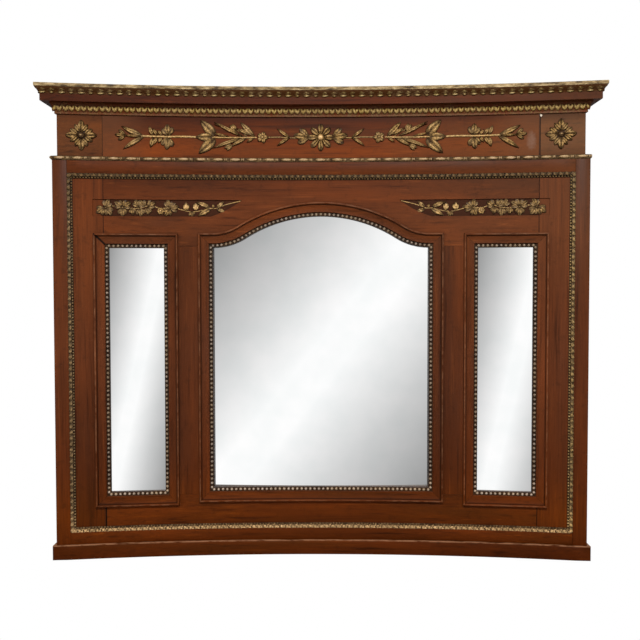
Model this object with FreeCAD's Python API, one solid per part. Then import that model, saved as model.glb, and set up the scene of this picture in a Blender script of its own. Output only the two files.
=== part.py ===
import FreeCAD, Part
import math
import os

# Overmantel mirror with a front that is concave in plan: a panelled wooden box with three
# mirror plates, a frieze with carved sprays and a projecting cornice.
# All sizes in millimetres. X runs to the right, Y back to the wall, Z up.
# The origin is below the middle of the whole object's bounding box, on the shelf it stands on.
# "Proud" is a distance towards the viewer, measured square to the concave body face.

Vector = FreeCAD.Vector

# ---- driving sizes -------------------------------------------------------------------------
face_radius = 4690.0        # radius of the concave body face, seen from above
body_half_width = 802.0     # centre line to the outer face of the body
box_depth = 90.0            # body face at the centre line to the wall
side_thickness = 26.0       # side boards of the box
seat_gap = 0.3              # clearance of a plate or board in its rebate
joint_gap = 0.6             # shrinkage gap that shows at the framed joints

base_height = 44.0
base_proud = 10.0
base_thickness = 52.0
base_end_radius = 7.0

border_thickness = 46.0     # outer frame of the body
border_stile_width = 42.0
border_bottom_height = 37.0
border_top_height = 39.0
body_height = 1163.0        # base top to the underside of the necking

field_recess = 6.0          # field frame set back behind the border
field_thickness = 40.0
field_stile_width = 103.0
field_top_height = 217.0    # upper rail of the field frame
field_bottom_height = 106.0
muntin_width = 118.0
tenon_thickness = 12.0
tenon_length = 32.0
tenon_shoulder = 12.0       # set-in of a tenon from the rail's edges
tenon_clearance = 0.2

gilt_width = 15.0           # carved moulding inside the border
gilt_height = 9.0
gilt_split = 0.58           # share of the width that the larger bead takes
gilt_shoulder = 0.55        # foot of the beads, and the smaller bead's rise and inner edge,
gilt_small_rise = 0.12      # as shares of the height
gilt_inner_edge = 0.2

side_sight_width = 163.0
sight_bottom_raise = 12.0   # lower rail's edge to the side mirrors' sight
muntin_cover = 6.0          # upper rail's edge that lies below the top of that sight
centre_bottom_raise = 8.0   # centre sight's bottom above the side ones
shoulder_raise = 2.0        # arch's shoulders above the side mirrors' sight
arch_rise = 95.5
shoulder_radius = 187.0     # reverse curves at the foot of the arch

moulding_flats = 3          # flats along each round of a moulding

frame_width = 44.0          # sight edge to the outer edge of a mirror's moulding
frame_bead = 7.0            # raised bead round the outside of that moulding
frame_height = 11.0         # bead top above the field
frame_quirk = 3.0           # step down from the bead to the sloping face
frame_inner_rise = 1.0      # inner edge of the sloping face above the field
slip_width = 12.0           # pearled slip next to the glass
slip_bead = 9.6             # pearls' diameter
slip_drop = 3.0             # slip's ground below the field
tongue_width = 2.7
rebate_width = 15.0         # sight edge to the opening in the field frame
glass_cover = 8.0           # sight edge to the edge of the glass
glass_setback = 18.0        # body face to the front of the glass
glass_thickness = 4.0
backing_thickness = 6.0
fillet_width = 9.0
fillet_thickness = 6.0

sunk_height = 51.0          # garland panels sunk in the top rail
sunk_drop = 76.0            # top edge of the field to a panel's top edge
sunk_overrun = 31.0         # outer end of a panel beyond the rail's joint
sunk_margin = 6.0           # bend of a panel's lower edge outside the arch's shoulder
sunk_depth = 4.0
sunk_tip_share = 0.725      # a panel's inner point, as a share of the centre mirror's half width
sunk_sweep = (0.6, 0.3)     # middle of the lower edge's sweep, as shares of its run and rise

necking_height = 14.0
necking_proud = 7.0
necking_ledge = 0.3         # flat under and over the round, as a share of its projection
necking_round = (0.4, 0.8)  # crest and top of the round, as shares of the height
frieze_recess = 12.0
frieze_thickness = 24.0
frieze_height = 138.0       # necking bottom to the top of the visible frieze
frieze_block_width = 131.0
carving_height = 7.0        # relief of the frieze's leaves
bloom_height = 6.0          # relief of the garlands' leaves
stem_width = 6.0
glue_line = 0.3             # carved ornament's back to its ground

bed_height = 32.0
bed_proud = 5.0
bed_fillet_share = 0.12     # lower fillet, as a share of the height
bed_fillet_proud = 3.5      # that fillet in front of the frieze
bed_foot_proud = 5.0        # foot of the cove in front of the frieze
bed_foot_rise = 2.0
bed_cove = (0.45, 0.62)     # middle of the cove, as shares of the projection and the height
bed_top_fillet = 3.0
corona_thickness = 21.0
corona_proud = 25.0
crown_height = 19.0
crown_proud = 38.0
crown_depth = 30.0
crown_foot_step = 0.5       # crown's foot and the middle of its cove in front of the corona
crown_cove_step = 3.0
crown_bead_steps = (5.0, 1.5, 1.0)      # cove's top, nose and upper edge behind the crown's front
crown_levels = (0.45, 0.7, 0.82)        # cove's middle, its top and the nose, as shares of the height
top_board_thickness = 10.0

back_rail_height = 90.0
back_rail_thickness = 24.0
packing_width = 40.0
packing_share = 0.96        # outer strips' place, as a share of the crown's inner half width

hanger_spacing = 1200.0
hanger_width = 40.0
hanger_height = 56.0
hanger_thickness = 3.0
hanger_hole_radius = 5.0
hanger_pocket_radius = 11.0
hanger_pocket_depth = 16.0
hanger_drop = 20.0          # top edge of the back rail to the top of a hanging plate

# ---- how far cutting tools and outlines run past what they cut ------------------------------
far = 3000.0                # past the whole object
tool_reach = 300.0          # past the object from front to back
return_reach = 750.0        # uncut length of a moulding's return in front of the middle
sunk_tool_proud = 30.0
overcut = 1.0
sunk_overcut = 5.0
side_overcut = 20.0
end_overrun = 10.0          # front moulding past its corner before it is mitred
corner_overrun = 5.0        # arched head past its corner before it is mitred
mitre_stretch = 4           # mitre line past the moulding, as a multiple of its own length
sweep_margin = 0.6          # degrees that a bent bar is swept past its ends before it is cut off
pick_tolerance = 0.5        # how near an edge lies to the place that it is looked for at

# ---- levels and lines worked out from them --------------------------------------------------
body_top = base_height + body_height
frieze_top = body_top + frieze_height
corona_bottom = frieze_top + bed_height
corona_top = corona_bottom + corona_thickness
crown_top = corona_top + crown_height
overall_height = crown_top + top_board_thickness

field_bottom = base_height + border_bottom_height
field_top = body_top - border_top_height
border_inner = body_half_width - border_stile_width
field_back = -(field_recess + field_thickness)
stile_inner = border_inner - field_stile_width
side_sight_bottom = field_bottom + field_bottom_height + sight_bottom_raise
rail_line_top = field_top - field_top_height
rail_line_bottom = field_bottom + field_bottom_height
side_sight_top = rail_line_top - muntin_cover
side_sight_outer = stile_inner - rebate_width
side_sight_inner = side_sight_outer - side_sight_width
side_mirror_centre = (side_sight_inner + side_sight_outer) / 2
muntin_outer = side_sight_inner - rebate_width
muntin_inner = muntin_outer - muntin_width
centre_half = muntin_inner - rebate_width
centre_sight_bottom = side_sight_bottom + centre_bottom_raise
shoulder_z = side_sight_top + shoulder_raise
arch_angle = 2 * math.atan(arch_rise / centre_half)
arch_radius = centre_half / math.sin(arch_angle) - shoulder_radius
arch_apex = shoulder_z + arch_rise
sunk_bottom = field_top - sunk_drop - sunk_height
sunk_outer = stile_inner + sunk_overrun
sunk_bend = centre_half + sunk_margin
sunk_tip = sunk_tip_share * centre_half
frieze_side = body_half_width - frieze_recess
frieze_joint = frieze_side - frieze_block_width

end_x = body_half_width + crown_proud
front_y = math.sqrt((face_radius - crown_proud) ** 2 - end_x ** 2) - face_radius
face_y = -(front_y + box_depth) / 2      # body face on the centre line
axis_y = face_y - face_radius            # upright axis that the concave face turns about
wall_y = face_y + box_depth


# ---- geometry on the concave front ----------------------------------------------------------
def radius_at(proud):
    return face_radius - proud


def arc_y(proud, x):
    """Depth of the surface that lies this far proud of the body face."""
    return axis_y + math.sqrt(radius_at(proud) ** 2 - x ** 2)


def face_turn(x):
    """Angle in degrees that the face has turned at this distance from the centre line."""
    return -math.degrees(math.asin(x / face_radius))


def wire_of(items, place):
    """Closed wire: plain pairs are joined by lines, a triple is an arc's middle point first."""
    points = [place(item[-2], item[-1]) for item in items]
    edges = []
    for index, item in enumerate(items):
        start = points[index - 1]
        end = points[index]
        if len(item) == 4:
            edges.append(Part.Arc(start, place(item[0], item[1]), end).toShape())
        else:
            edges.append(Part.LineSegment(start, end).toShape())
    return Part.Wire(edges)


def faceted(items):
    """Planed outline: each round stretch becomes a few flats along its true arc."""
    pairs = []
    for index, item in enumerate(items):
        if len(item) == 4:
            start = items[index - 1]
            ends = [Vector(start[-2], start[-1], 0), Vector(item[0], item[1], 0), Vector(item[2], item[3], 0)]
            arc = Part.Arc(*ends).toShape()
            pairs += [(point.x, point.y) for point in arc.discretize(moulding_flats + 1)[1:]]
        else:
            pairs.append(item)
    return pairs


def trim_elevation(shape, items):
    """Keeps what lies inside an outline drawn in elevation, as pairs of x and z."""
    face = Part.Face(wire_of(items, lambda x, z: Vector(x, -far, z)))
    return shape.common(face.extrude(Vector(0, 2 * far, 0)))


def trim_plan(shape, points):
    """Keeps what lies inside an outline drawn in plan, as pairs of x and y."""
    face = Part.Face(wire_of(points, lambda x, y: Vector(x, y, -far)))
    return shape.common(face.extrude(Vector(0, 0, 2 * far)))


def one(shape):
    """The single solid of a boolean result."""
    return shape.Solids[0] if len(shape.Solids) == 1 else shape


def bent_bar(section, x_start, x_end):
    """Bar bent along the concave front, its section drawn as pairs of proud and z."""
    wire = wire_of(section, lambda proud, z: Vector(0, axis_y + radius_at(proud), z))
    margin = math.radians(sweep_margin)
    least = radius_at(max(item[-2] for item in section))
    angle_start = math.asin(x_start / least) - margin
    angle_end = math.asin(x_end / least) + margin
    face = Part.Face(wire)
    axis = Vector(0, axis_y, 0)
    face.rotate(axis, Vector(0, 0, 1), -math.degrees(angle_start))
    turned = face.revolve(axis, Vector(0, 0, -1), math.degrees(angle_end - angle_start))
    outline = [(x_start, -far), (x_end, -far), (x_end, far), (x_start, far)]
    return one(trim_plan(turned, outline))


def bent_board(proud_front, proud_back, x_start, x_end, z_start, z_end):
    section = [(proud_front, z_start), (proud_front, z_end), (proud_back, z_end), (proud_back, z_start)]
    return bent_bar(section, x_start, x_end)


def upright_bar(section, z_start, z_end):
    """Upright bar whose section is drawn as pairs of x and proud."""
    wire = wire_of(section, lambda x, proud: Vector(x, arc_y(proud, x), z_start))
    return Part.Face(wire).extrude(Vector(0, 0, z_end - z_start))


def box(x_start, x_end, y_start, y_end, z_start, z_end):
    return Part.makeBox(x_end - x_start, y_end - y_start, z_end - z_start, Vector(x_start, y_start, z_start))


def mirrored(shape):
    return shape.mirror(Vector(0, 0, 0), Vector(1, 0, 0))


# ---- joinery --------------------------------------------------------------------------------
tenon_front = -(field_recess + (field_thickness - tenon_thickness) / 2)
tenon_back = tenon_front - tenon_thickness


def rail_tenon(x_root, side, z_start, z_end, slack=0.0):
    """Tenon on a rail's end; with slack it is the mortise that takes it."""
    x_tip = x_root + side * (tenon_length + slack)
    x_low = min(x_root, x_tip)
    x_high = max(x_root, x_tip)
    return bent_board(tenon_front + slack, tenon_back - slack, x_low, x_high,
                      z_start + tenon_shoulder - slack, z_end - tenon_shoulder + slack)


def muntin_tenon(x_low, x_high, z_root, side, slack=0.0):
    z_tip = z_root + side * (tenon_length + slack)
    return bent_board(tenon_front + slack, tenon_back - slack, x_low + tenon_shoulder - slack,
                      x_high - tenon_shoulder + slack, min(z_root, z_tip), max(z_root, z_tip))


# ---- outlines of the mirrors ----------------------------------------------------------------
def arch_outline(offset):
    """Outline of the centre mirror, moved out from the sight edge by an offset."""
    half = centre_half + offset
    bottom = centre_sight_bottom - offset
    shoulder = shoulder_z + offset
    reverse = shoulder_radius - offset
    crown = arch_radius + offset
    crown_z = arch_apex - arch_radius
    reverse_z = shoulder_z + shoulder_radius
    meet_x = crown * math.sin(arch_angle)
    meet_z = crown_z + crown * math.cos(arch_angle)
    mid_x = centre_half - reverse * math.sin(arch_angle / 2)
    mid_z = reverse_z - reverse * math.cos(arch_angle / 2)
    items = [(-half, bottom), (half, bottom), (half, shoulder)]
    if offset > 0:
        items.append((centre_half, shoulder))
    items += [(mid_x, mid_z, meet_x, meet_z), (0, crown_z + crown, -meet_x, meet_z),
              (-mid_x, mid_z, -centre_half, shoulder)]
    if offset > 0:
        items.append((-half, shoulder))
    return items


def side_outline(offset, centre):
    half = side_sight_width / 2 + offset
    bottom = side_sight_bottom - offset
    top = side_sight_top + offset
    return [(centre - half, bottom), (centre + half, bottom), (centre + half, top), (centre - half, top)]


def opening_outline(centre, offset):
    return side_outline(offset, centre) if centre else arch_outline(offset)


def through(outline):
    """Straight prism from front to back with this outline in elevation."""
    face = Part.Face(wire_of(outline, lambda x, z: Vector(x, -tool_reach, z)))
    return face.extrude(Vector(0, 2 * tool_reach, 0))


def slab(x_centre, depth_start, depth_end):
    """Upright flat slab square to the face at a mirror's centre, at these depths behind it there."""
    y_start = arc_y(0, x_centre) + depth_start
    shape = box(x_centre - body_half_width, x_centre + body_half_width, y_start,
                y_start + depth_end - depth_start, 0, overall_height)
    shape.rotate(Vector(x_centre, arc_y(0, x_centre), 0), Vector(0, 0, 1), face_turn(x_centre))
    return shape


def plate(outline, x_centre, depth_start, depth_end):
    """Flat plate whose faces lie along the front at the mirror's centre."""
    return one(through(outline).common(slab(x_centre, depth_start, depth_end)))


# ---- mirror mouldings -----------------------------------------------------------------------
def frame_section():
    """Moulding round a mirror: pairs of distance out from the sight edge and proud."""
    bead_low = -field_recess + frame_height - frame_bead / 2
    bead_mid = frame_width - frame_bead / 2
    return faceted([(frame_width, -field_recess), (frame_width, bead_low),
                    (bead_mid, -field_recess + frame_height, frame_width - frame_bead, bead_low),
                    (frame_width - frame_bead, bead_low - frame_quirk),
                    (slip_width, -field_recess + frame_inner_rise),
                    (slip_width, -glass_setback),
                    (slip_width + tongue_width, -glass_setback),
                    (slip_width + tongue_width, -field_recess)])


def slip_section():
    """Pearled slip: its back is left long here and cut flat to the glass later."""
    ground = -field_recess - slip_drop
    start = (slip_width - slip_bead) / 2
    deep = -field_recess - field_thickness
    return faceted([(slip_width, ground), (slip_width - start, ground),
                    (slip_width / 2, ground + slip_bead / 2, start, ground),
                    (0, ground), (0, deep), (slip_width, deep)])


def level_member(section, z_edge, outward, x_low, x_high):
    return bent_bar([(proud, z_edge + outward * out) for out, proud in section], x_low, x_high)


def upright_member(section, x_edge, outward, z_low, z_high):
    return upright_bar([(x_edge + outward * out, proud) for out, proud in section], z_low, z_high)


def arch_stations():
    """Places along the arched sight edge: x, z and the outward direction there."""
    reverse_steps = 4
    crown_steps = 14
    reverse_z = shoulder_z + shoulder_radius
    crown_z = arch_apex - arch_radius
    right = []
    for step in range(reverse_steps):
        angle = arch_angle * step / reverse_steps
        x = centre_half - shoulder_radius * math.sin(angle)
        z = reverse_z - shoulder_radius * math.cos(angle)
        right.append((x, z, math.sin(angle), math.cos(angle)))
    arc = []
    for step in range(crown_steps + 1):
        angle = arch_angle * (1 - 2 * step / crown_steps)
        arc.append((arch_radius * math.sin(angle), crown_z + arch_radius * math.cos(angle),
                    math.sin(angle), math.cos(angle)))
    left = [(-x, z, -out_x, out_z) for x, z, out_x, out_z in reversed(right)]
    return right + arc + left


def arch_member(section):
    """Arched head: the section carried along the arch and laid on the concave face."""
    wires = []
    for x, z, out_x, out_z in arch_stations():
        def place(out, proud, x=x, z=z, out_x=out_x, out_z=out_z):
            there = x + out * out_x
            return Vector(there, arc_y(proud, there), z + out * out_z)
        wires.append(wire_of(section, place))
    middle = Part.makeLoft(wires, True, True)
    ends = [run_to_corner(section, side) for side in (-1, 1)]
    return one(middle.fuse(ends))


def run_to_corner(section, side):
    """Short level run from the foot of the arch to beyond the corner."""
    x_foot = side * centre_half
    x_end = side * (centre_half + frame_width + corner_overrun)
    wires = []
    for x in (x_foot, x_end):
        wires.append(wire_of(section, lambda out, proud, x=x: Vector(x, arc_y(proud, x), shoulder_z + out)))
    return Part.makeLoft(wires, True, True)


def mitre_outlines(x_low, x_high, z_low, z_high, reach):
    """Four outlines in elevation that part a mitred frame into its members."""
    out = reach + overcut
    mid_z = (z_low + z_high) / 2
    mid_x = (x_low + x_high) / 2
    inset = min(mid_z - z_low, mid_x - x_low) / 2
    bottom = [(x_low - out, z_low - out), (x_high + out, z_low - out),
              (x_high - inset, z_low + inset), (x_low + inset, z_low + inset)]
    top = [(x_low - out, z_high + out), (x_low + inset, z_high - inset),
           (x_high - inset, z_high - inset), (x_high + out, z_high + out)]
    left = [(x_low - out, z_low - out), (x_low + inset, z_low + inset),
            (x_low + inset, z_high - inset), (x_low - out, z_high + out)]
    right = [(x_high + out, z_low - out), (x_high + out, z_high + out),
             (x_high - inset, z_high - inset), (x_high - inset, z_low + inset)]
    return {"bottom": bottom, "top": top, "left": left, "right": right}


def mitred_frame(section, x_low, x_high, z_low, z_high, reach):
    """Members of a mitred frame round a sight opening; the top one is left to the caller if arched."""
    outlines = mitre_outlines(x_low, x_high, z_low, z_high, reach)
    bottom = level_member(section, z_low, -1, x_low - reach, x_high + reach)
    top = level_member(section, z_high, 1, x_low - reach, x_high + reach)
    left = upright_member(section, x_low, -1, z_low - reach, z_high + reach)
    right = upright_member(section, x_high, 1, z_low - reach, z_high + reach)
    members = {"bottom": bottom, "top": top, "left": left, "right": right}
    return {name: one(trim_elevation(members[name], outlines[name])) for name in members}


def arched_frame(section, reach):
    members = mitred_frame(section, -centre_half, centre_half, centre_sight_bottom, shoulder_z, reach)
    out = reach + overcut
    high = arch_apex + 2 * frame_width
    inset = centre_half / 4
    head = [(-centre_half - out, shoulder_z + out), (-centre_half + inset, shoulder_z - inset),
            (centre_half - inset, shoulder_z - inset), (centre_half + out, shoulder_z + out),
            (centre_half + out, high), (-centre_half - out, high)]
    members["top"] = one(trim_elevation(arch_member(section), head))
    return members


def cut_to_glass(member, x_centre):
    """Cuts a slip's back flat where the plate lies against it."""
    return one(member.cut(slab(x_centre, glass_setback, glass_setback + tool_reach)))


# ---- carved ornament in low relief ----------------------------------------------------------
leaf_belly = 0.45           # widest place, as a share of a leaf's length
leaf_stem = 0.16            # half the width at the stem end, as a share of the width
leaf_ridge = 0.6            # ridge's height at the stem end, as a share of its greatest height
boss_rings = ((1.0, 0.0), (0.85, 0.6), (0.45, 1.0))             # shares of radius and height
petal_rim = ((-25, 0.85), (0, 1.0), (25, 0.85), (60, 0.3))      # degrees and share of the radius
boss_rise = 1.5             # boss above its ground, as a share of the leaves' height
low_rise = 0.7              # stems and small leaves, as a share of the leaves' height


def solid_of(corner_sets):
    """Closed solid from flat faces, each given by its corners."""
    faces = [Part.Face(Part.makePolygon(corners + [corners[0]])) for corners in corner_sets]
    solid = Part.makeSolid(Part.makeShell(faces))
    if solid.Volume < 0:
        solid.reverse()
    return solid


def leaf(length, width, height):
    """Ridged leaf on the plane y = 0, stem end at the origin, growing along X, its ridge towards -Y."""
    belly = leaf_belly * length
    half_stem = leaf_stem * width
    upper = [Vector(0, 0, half_stem), Vector(belly, 0, width / 2)]
    lower = [Vector(point.x, 0, -point.z) for point in upper]
    tip = Vector(length, 0, 0)
    ridge = [Vector(0, -leaf_ridge * height, 0), Vector(belly, -height, 0)]
    corner_sets = [upper + [tip] + lower[::-1], [upper[0], lower[0], ridge[0]]]
    for rim in (upper, lower):
        corner_sets.append([rim[0], rim[1], ridge[1]])
        corner_sets.append([rim[0], ridge[1], ridge[0]])
        corner_sets.append([rim[1], tip, ridge[1]])
    return solid_of(corner_sets)


def placed(shape, x, z, direction):
    """Turns a shape by a direction in degrees on the flat ground and moves it to x and z."""
    shape.rotate(Vector(0, 0, 0), Vector(0, -1, 0), direction)
    shape.translate(Vector(x, 0, z))
    return shape


def laid_leaves(leaf_list):
    """Each entry: x, z, direction, length, width, height."""
    return [placed(leaf(length, width, height), x, z, direction)
            for x, z, direction, length, width, height in leaf_list]


def stem(points, width, height):
    """Stem with a triangular section along points of x and z."""
    parts = []
    for start, end in zip(points, points[1:]):
        length = math.hypot(end[0] - start[0], end[1] - start[1])
        direction = math.degrees(math.atan2(end[1] - start[1], end[0] - start[0]))
        low = [Vector(0, 0, -width / 2), Vector(0, -height, 0), Vector(0, 0, width / 2)]
        prism = Part.Face(Part.makePolygon(low + [low[0]])).extrude(Vector(length + width / 4, 0, 0))
        parts.append(placed(prism, start[0], start[1], direction))
    return parts


def boss(x, z, radius, height):
    """Low eight-sided knob."""
    rings = []
    for share_r, share_h in boss_rings:
        ring = [Vector(share_r * radius * math.cos(k * math.pi / 4), -share_h * height,
                       share_r * radius * math.sin(k * math.pi / 4)) for k in range(8)]
        rings.append(Part.makePolygon(ring + [ring[0]]))
    return placed(Part.makeLoft(rings, True, True), x, z, 0)


def bloom(x, z, direction, radius, height):
    """Three blunt petals round a point, in direction and a third of a turn to either side of it."""
    rim = []
    for petal in range(3):
        for turn, share in petal_rim:
            angle = math.radians(120 * petal + turn)
            rim.append(Vector(share * radius * math.cos(angle), 0, share * radius * math.sin(angle)))
    top = Vector(0, -height, 0)
    corner_sets = [rim[::-1]] + [[rim[k - 1], rim[k], top] for k in range(len(rim))]
    return placed(solid_of(corner_sets), x, z, direction)


def bent_to_face(parts, ground):
    """Joins flat-backed parts and bends them on to the concave ground, corner by corner."""
    flat = parts[0].multiFuse(parts[1:]).removeSplitter()
    corners, triangles = flat.tessellate(carving_height)
    bent = []
    for corner in corners:
        angle = corner.x / radius_at(ground)
        reach = radius_at(ground + glue_line) + corner.y
        bent.append(Vector(reach * math.sin(angle), axis_y + reach * math.cos(angle), corner.z))
    return solid_of([[bent[index] for index in triangle] for triangle in triangles])


frieze_clear = frieze_height - necking_height      # visible height of the frieze
ornament_z = body_top + necking_height + frieze_clear / 2


def radiating(x, count, start, length, width, height):
    """Leaves that grow from one point, evenly turned."""
    return laid_leaves([(x, ornament_z, start + 360 * k / count, length * frieze_clear,
                         width * frieze_clear, height) for k in range(count)])


# Leaves' length and width, and bosses' radius, as shares of the frieze's visible height.
rosette_leaf = (0.4, 0.34)
rosette_small_leaf = (0.29, 0.16)
rosette_boss = 0.075
flower_petal = (0.34, 0.22)
flower_boss = 0.095


def rosette(x):
    """Square acanthus flower: four broad leaves to the corners of a lozenge, four small between."""
    parts = radiating(x, 4, 0, *rosette_leaf, carving_height)
    parts += radiating(x, 4, 45, *rosette_small_leaf, low_rise * carving_height)
    parts.append(boss(x, ornament_z, rosette_boss * frieze_clear, boss_rise * carving_height))
    return bent_to_face(parts, -frieze_recess)


def centre_flower():
    parts = radiating(0, 8, 0, *flower_petal, carving_height)
    parts.append(boss(0, ornament_z, flower_boss * frieze_clear, boss_rise * carving_height))
    return bent_to_face(parts, -frieze_recess)


# Leaves of a spray: place as a share of the way from the middle of the frieze to a block's joint,
# direction in degrees, then length and width as shares of the frieze's visible height.
spray_leaves = (
    [(0.052, 0, 0.42, 0.20)]
    + [(0.228, angle, 0.36, 0.12) for angle in (-48, 48)]
    + [(0.258, angle, 0.28, 0.13) for angle in (-30, 0, 30)]
    + [(0.325, angle, length, 0.15)
       for angle, length in ((6, 0.88), (22, 0.78), (38, 0.6), (-14, 0.68), (-32, 0.5))]
    + [(0.507, angle, 0.45, 0.18) for angle in (-42, 0, 42)]
    + [(0.668, 0, 0.4, 0.18)]
    + [(0.737, angle, 0.36, 0.19) for angle in (-48, 48)]
    + [(0.777, angle, 0.26, 0.11) for angle in (-48, 48)]
    + [(0.812, angle, 0.24, 0.1) for angle in (-48, 48)]
    + [(0.832, angle, length, 0.105) for angle, length in ((0, 0.645), (13, 0.58), (-12, 0.565))])
spray_stem = [(0.06, 0), (0.18, 0.025), (0.3, -0.016), (0.5, 0), (0.68, 0.025), (0.838, 0)]


def spray():
    """Right-hand spray of stem, leaf pairs, palmette, fan and bud."""
    leaves = [(share * frieze_joint, ornament_z, angle, length * frieze_clear, width * frieze_clear,
               carving_height) for share, angle, length, width in spray_leaves]
    points = [(share * frieze_joint, ornament_z + rise * frieze_clear) for share, rise in spray_stem]
    parts = stem(points, stem_width, low_rise * carving_height)
    return bent_to_face(parts + laid_leaves(leaves), -frieze_recess)


# Right-hand garland: places as shares of the way from the panel's inner point to its outer end and
# of its height, directions in degrees, lengths and widths as shares of its height.
garland_blooms = [(0.946, 0.3), (0.893, 0.7), (0.877, 0.3), (0.817, 0.7), (0.79, 0.3), (0.752, 0.68),
                  (0.732, 0.3), (0.676, 0.7), (0.663, 0.32), (0.607, 0.66), (0.54, 0.3), (0.493, 0.7),
                  (0.473, 0.5)]
garland_leaves = [(0.38, 0.45, 75, 0.42, 0.2), (0.38, 0.45, 110, 0.42, 0.2), (0.33, 0.5, 75, 0.38, 0.2),
                  (0.34, 0.45, 250, 0.34, 0.2), (0.275, 0.5, 120, 0.4, 0.24), (0.25, 0.5, 250, 0.36, 0.22),
                  (0.2, 0.5, 150, 0.62, 0.22), (0.2, 0.5, 192, 0.5, 0.2)]
garland_stem = [(0.95, 0.46), (0.85, 0.54), (0.72, 0.46), (0.58, 0.54), (0.47, 0.46), (0.36, 0.52),
                (0.25, 0.46), (0.16, 0.7), (0.07, 0.86)]
bloom_radius = 0.26         # share of the panel's height
garland_stem_width = 0.8 * stem_width


def in_panel(share, rise):
    return sunk_tip + share * (sunk_outer - sunk_tip), sunk_bottom + rise * sunk_height


def garland():
    """Right-hand garland of small three-petalled blooms and leaves on the ground of the sunk panel."""
    points = [in_panel(share, rise) for share, rise in garland_stem]
    parts = stem(points, garland_stem_width, low_rise * bloom_height)
    parts += laid_leaves([(*in_panel(share, rise), angle, length * sunk_height, width * sunk_height,
                           bloom_height) for share, rise, angle, length, width in garland_leaves])
    for share, rise in garland_blooms:
        to_stem = 90 if rise < 0.5 else 270
        parts.append(bloom(*in_panel(share, rise), to_stem, bloom_radius * sunk_height, bloom_height))
    return bent_to_face(parts, -(field_recess + sunk_depth))


# ---- box mouldings with mitred returns ------------------------------------------------------
def plan_corner(proud):
    x = body_half_width + proud
    return x, arc_y(proud, x)


def wrapped_moulding(section):
    """Moulding along the front with a return to the wall at each end, mitred at the corners."""
    section = faceted(section)
    prouds = [proud for proud, z in section]
    inner = plan_corner(min(prouds))
    outer = plan_corner(max(prouds))
    slope_x = outer[0] - inner[0]
    slope_y = outer[1] - inner[1]
    deep = (inner[0] - mitre_stretch * slope_x, inner[1] - mitre_stretch * slope_y)
    clear = (outer[0] + mitre_stretch * slope_x, outer[1] + mitre_stretch * slope_y)
    front_outline = [(-deep[0], deep[1]), (-clear[0], clear[1]), clear, deep]
    reach = body_half_width + max(prouds) + end_overrun
    front = one(trim_plan(bent_bar(section, -reach, reach), front_outline))
    wire = wire_of(section, lambda proud, z: Vector(body_half_width + proud, -return_reach, z))
    bar = Part.Face(wire).extrude(Vector(0, return_reach + wall_y, 0))
    side_outline_plan = [deep, clear, (clear[0] + far, clear[1]), (clear[0] + far, far), (deep[0], far)]
    right = one(trim_plan(bar, side_outline_plan))
    return [front, mirrored(right), right]


def boards_over_box(proud, z_start, z_end):
    """Board that covers the box and overhangs its front and sides."""
    x_end = body_half_width + proud
    corner_y = arc_y(proud, x_end)
    items = [(x_end, corner_y), (x_end, wall_y), (-x_end, wall_y), (-x_end, corner_y),
             (0, arc_y(proud, 0), x_end, corner_y)]
    wire = wire_of(items[1:], lambda x, y: Vector(x, y, z_start))
    return Part.Face(wire).extrude(Vector(0, 0, z_end - z_start))


# ---- pieces ---------------------------------------------------------------------------------
pieces = {}


def make_base():
    half = body_half_width + base_proud
    front = bent_board(base_proud, base_proud - base_thickness, -half, half, 0, base_height)
    upright = [edge for edge in front.Edges
               if abs(abs(edge.CenterOfMass.x) - half) < pick_tolerance
               and edge.CenterOfMass.y < arc_y(0, half)
               and abs(edge.CenterOfMass.z - base_height / 2) < pick_tolerance]
    pieces["base_rail"] = front.makeFillet(base_end_radius, upright)
    start_y = arc_y(base_proud - base_thickness, half)
    block = box(body_half_width - side_thickness, half, start_y, wall_y, 0, base_height)
    inner_back = bent_board(tool_reach, base_proud - base_thickness, 0, half + side_overcut,
                            -overcut, base_height + overcut)
    block = one(block.cut(inner_back))
    pieces["base_returns"] = Part.Compound([mirrored(block), block])


def make_border():
    stile = bent_board(0, -border_thickness, border_inner, body_half_width, base_height, body_top)
    pieces["border_stile_right"] = stile
    pieces["border_stile_left"] = mirrored(stile)
    pieces["border_rail_bottom"] = bent_board(0, -border_thickness, -border_inner, border_inner,
                                              base_height, field_bottom)
    pieces["border_rail_top"] = bent_board(0, -border_thickness, -border_inner, border_inner,
                                           field_top, body_top)


def make_sides():
    """Side boards from the border to the wall, set back at the frieze."""
    x_outer = body_half_width
    behind_border = bent_board(tool_reach, -border_thickness, 0, x_outer + side_overcut, -overcut, body_top)
    behind_frieze = bent_board(tool_reach, -frieze_recess - frieze_thickness, 0, x_outer + side_overcut,
                               body_top, overall_height)
    set_back = box(frieze_side, x_outer + overcut, -far, far, body_top, overall_height)
    board = box(x_outer - side_thickness, x_outer, -tool_reach, wall_y, base_height, corona_bottom)
    board = one(board.cut([behind_border, behind_frieze, set_back]))
    pieces["side_board_right"] = board
    pieces["side_board_left"] = mirrored(board)


def sunk_tool():
    """Ground of a garland panel: flat bottom edge sweeping up to a point over the arch."""
    top = sunk_bottom + sunk_height
    middle_x = sunk_tip + sunk_sweep[0] * (sunk_bend - sunk_tip)
    middle_z = sunk_bottom + sunk_sweep[1] * sunk_height
    outline = [(sunk_outer, top), (sunk_tip, top), (middle_x, middle_z, sunk_bend, sunk_bottom),
               (sunk_outer, sunk_bottom)]
    block = bent_board(sunk_tool_proud, -(field_recess + sunk_depth), 0, body_half_width,
                       sunk_bottom - sunk_overcut, top + sunk_overcut)
    return trim_elevation(block, outline)


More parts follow.
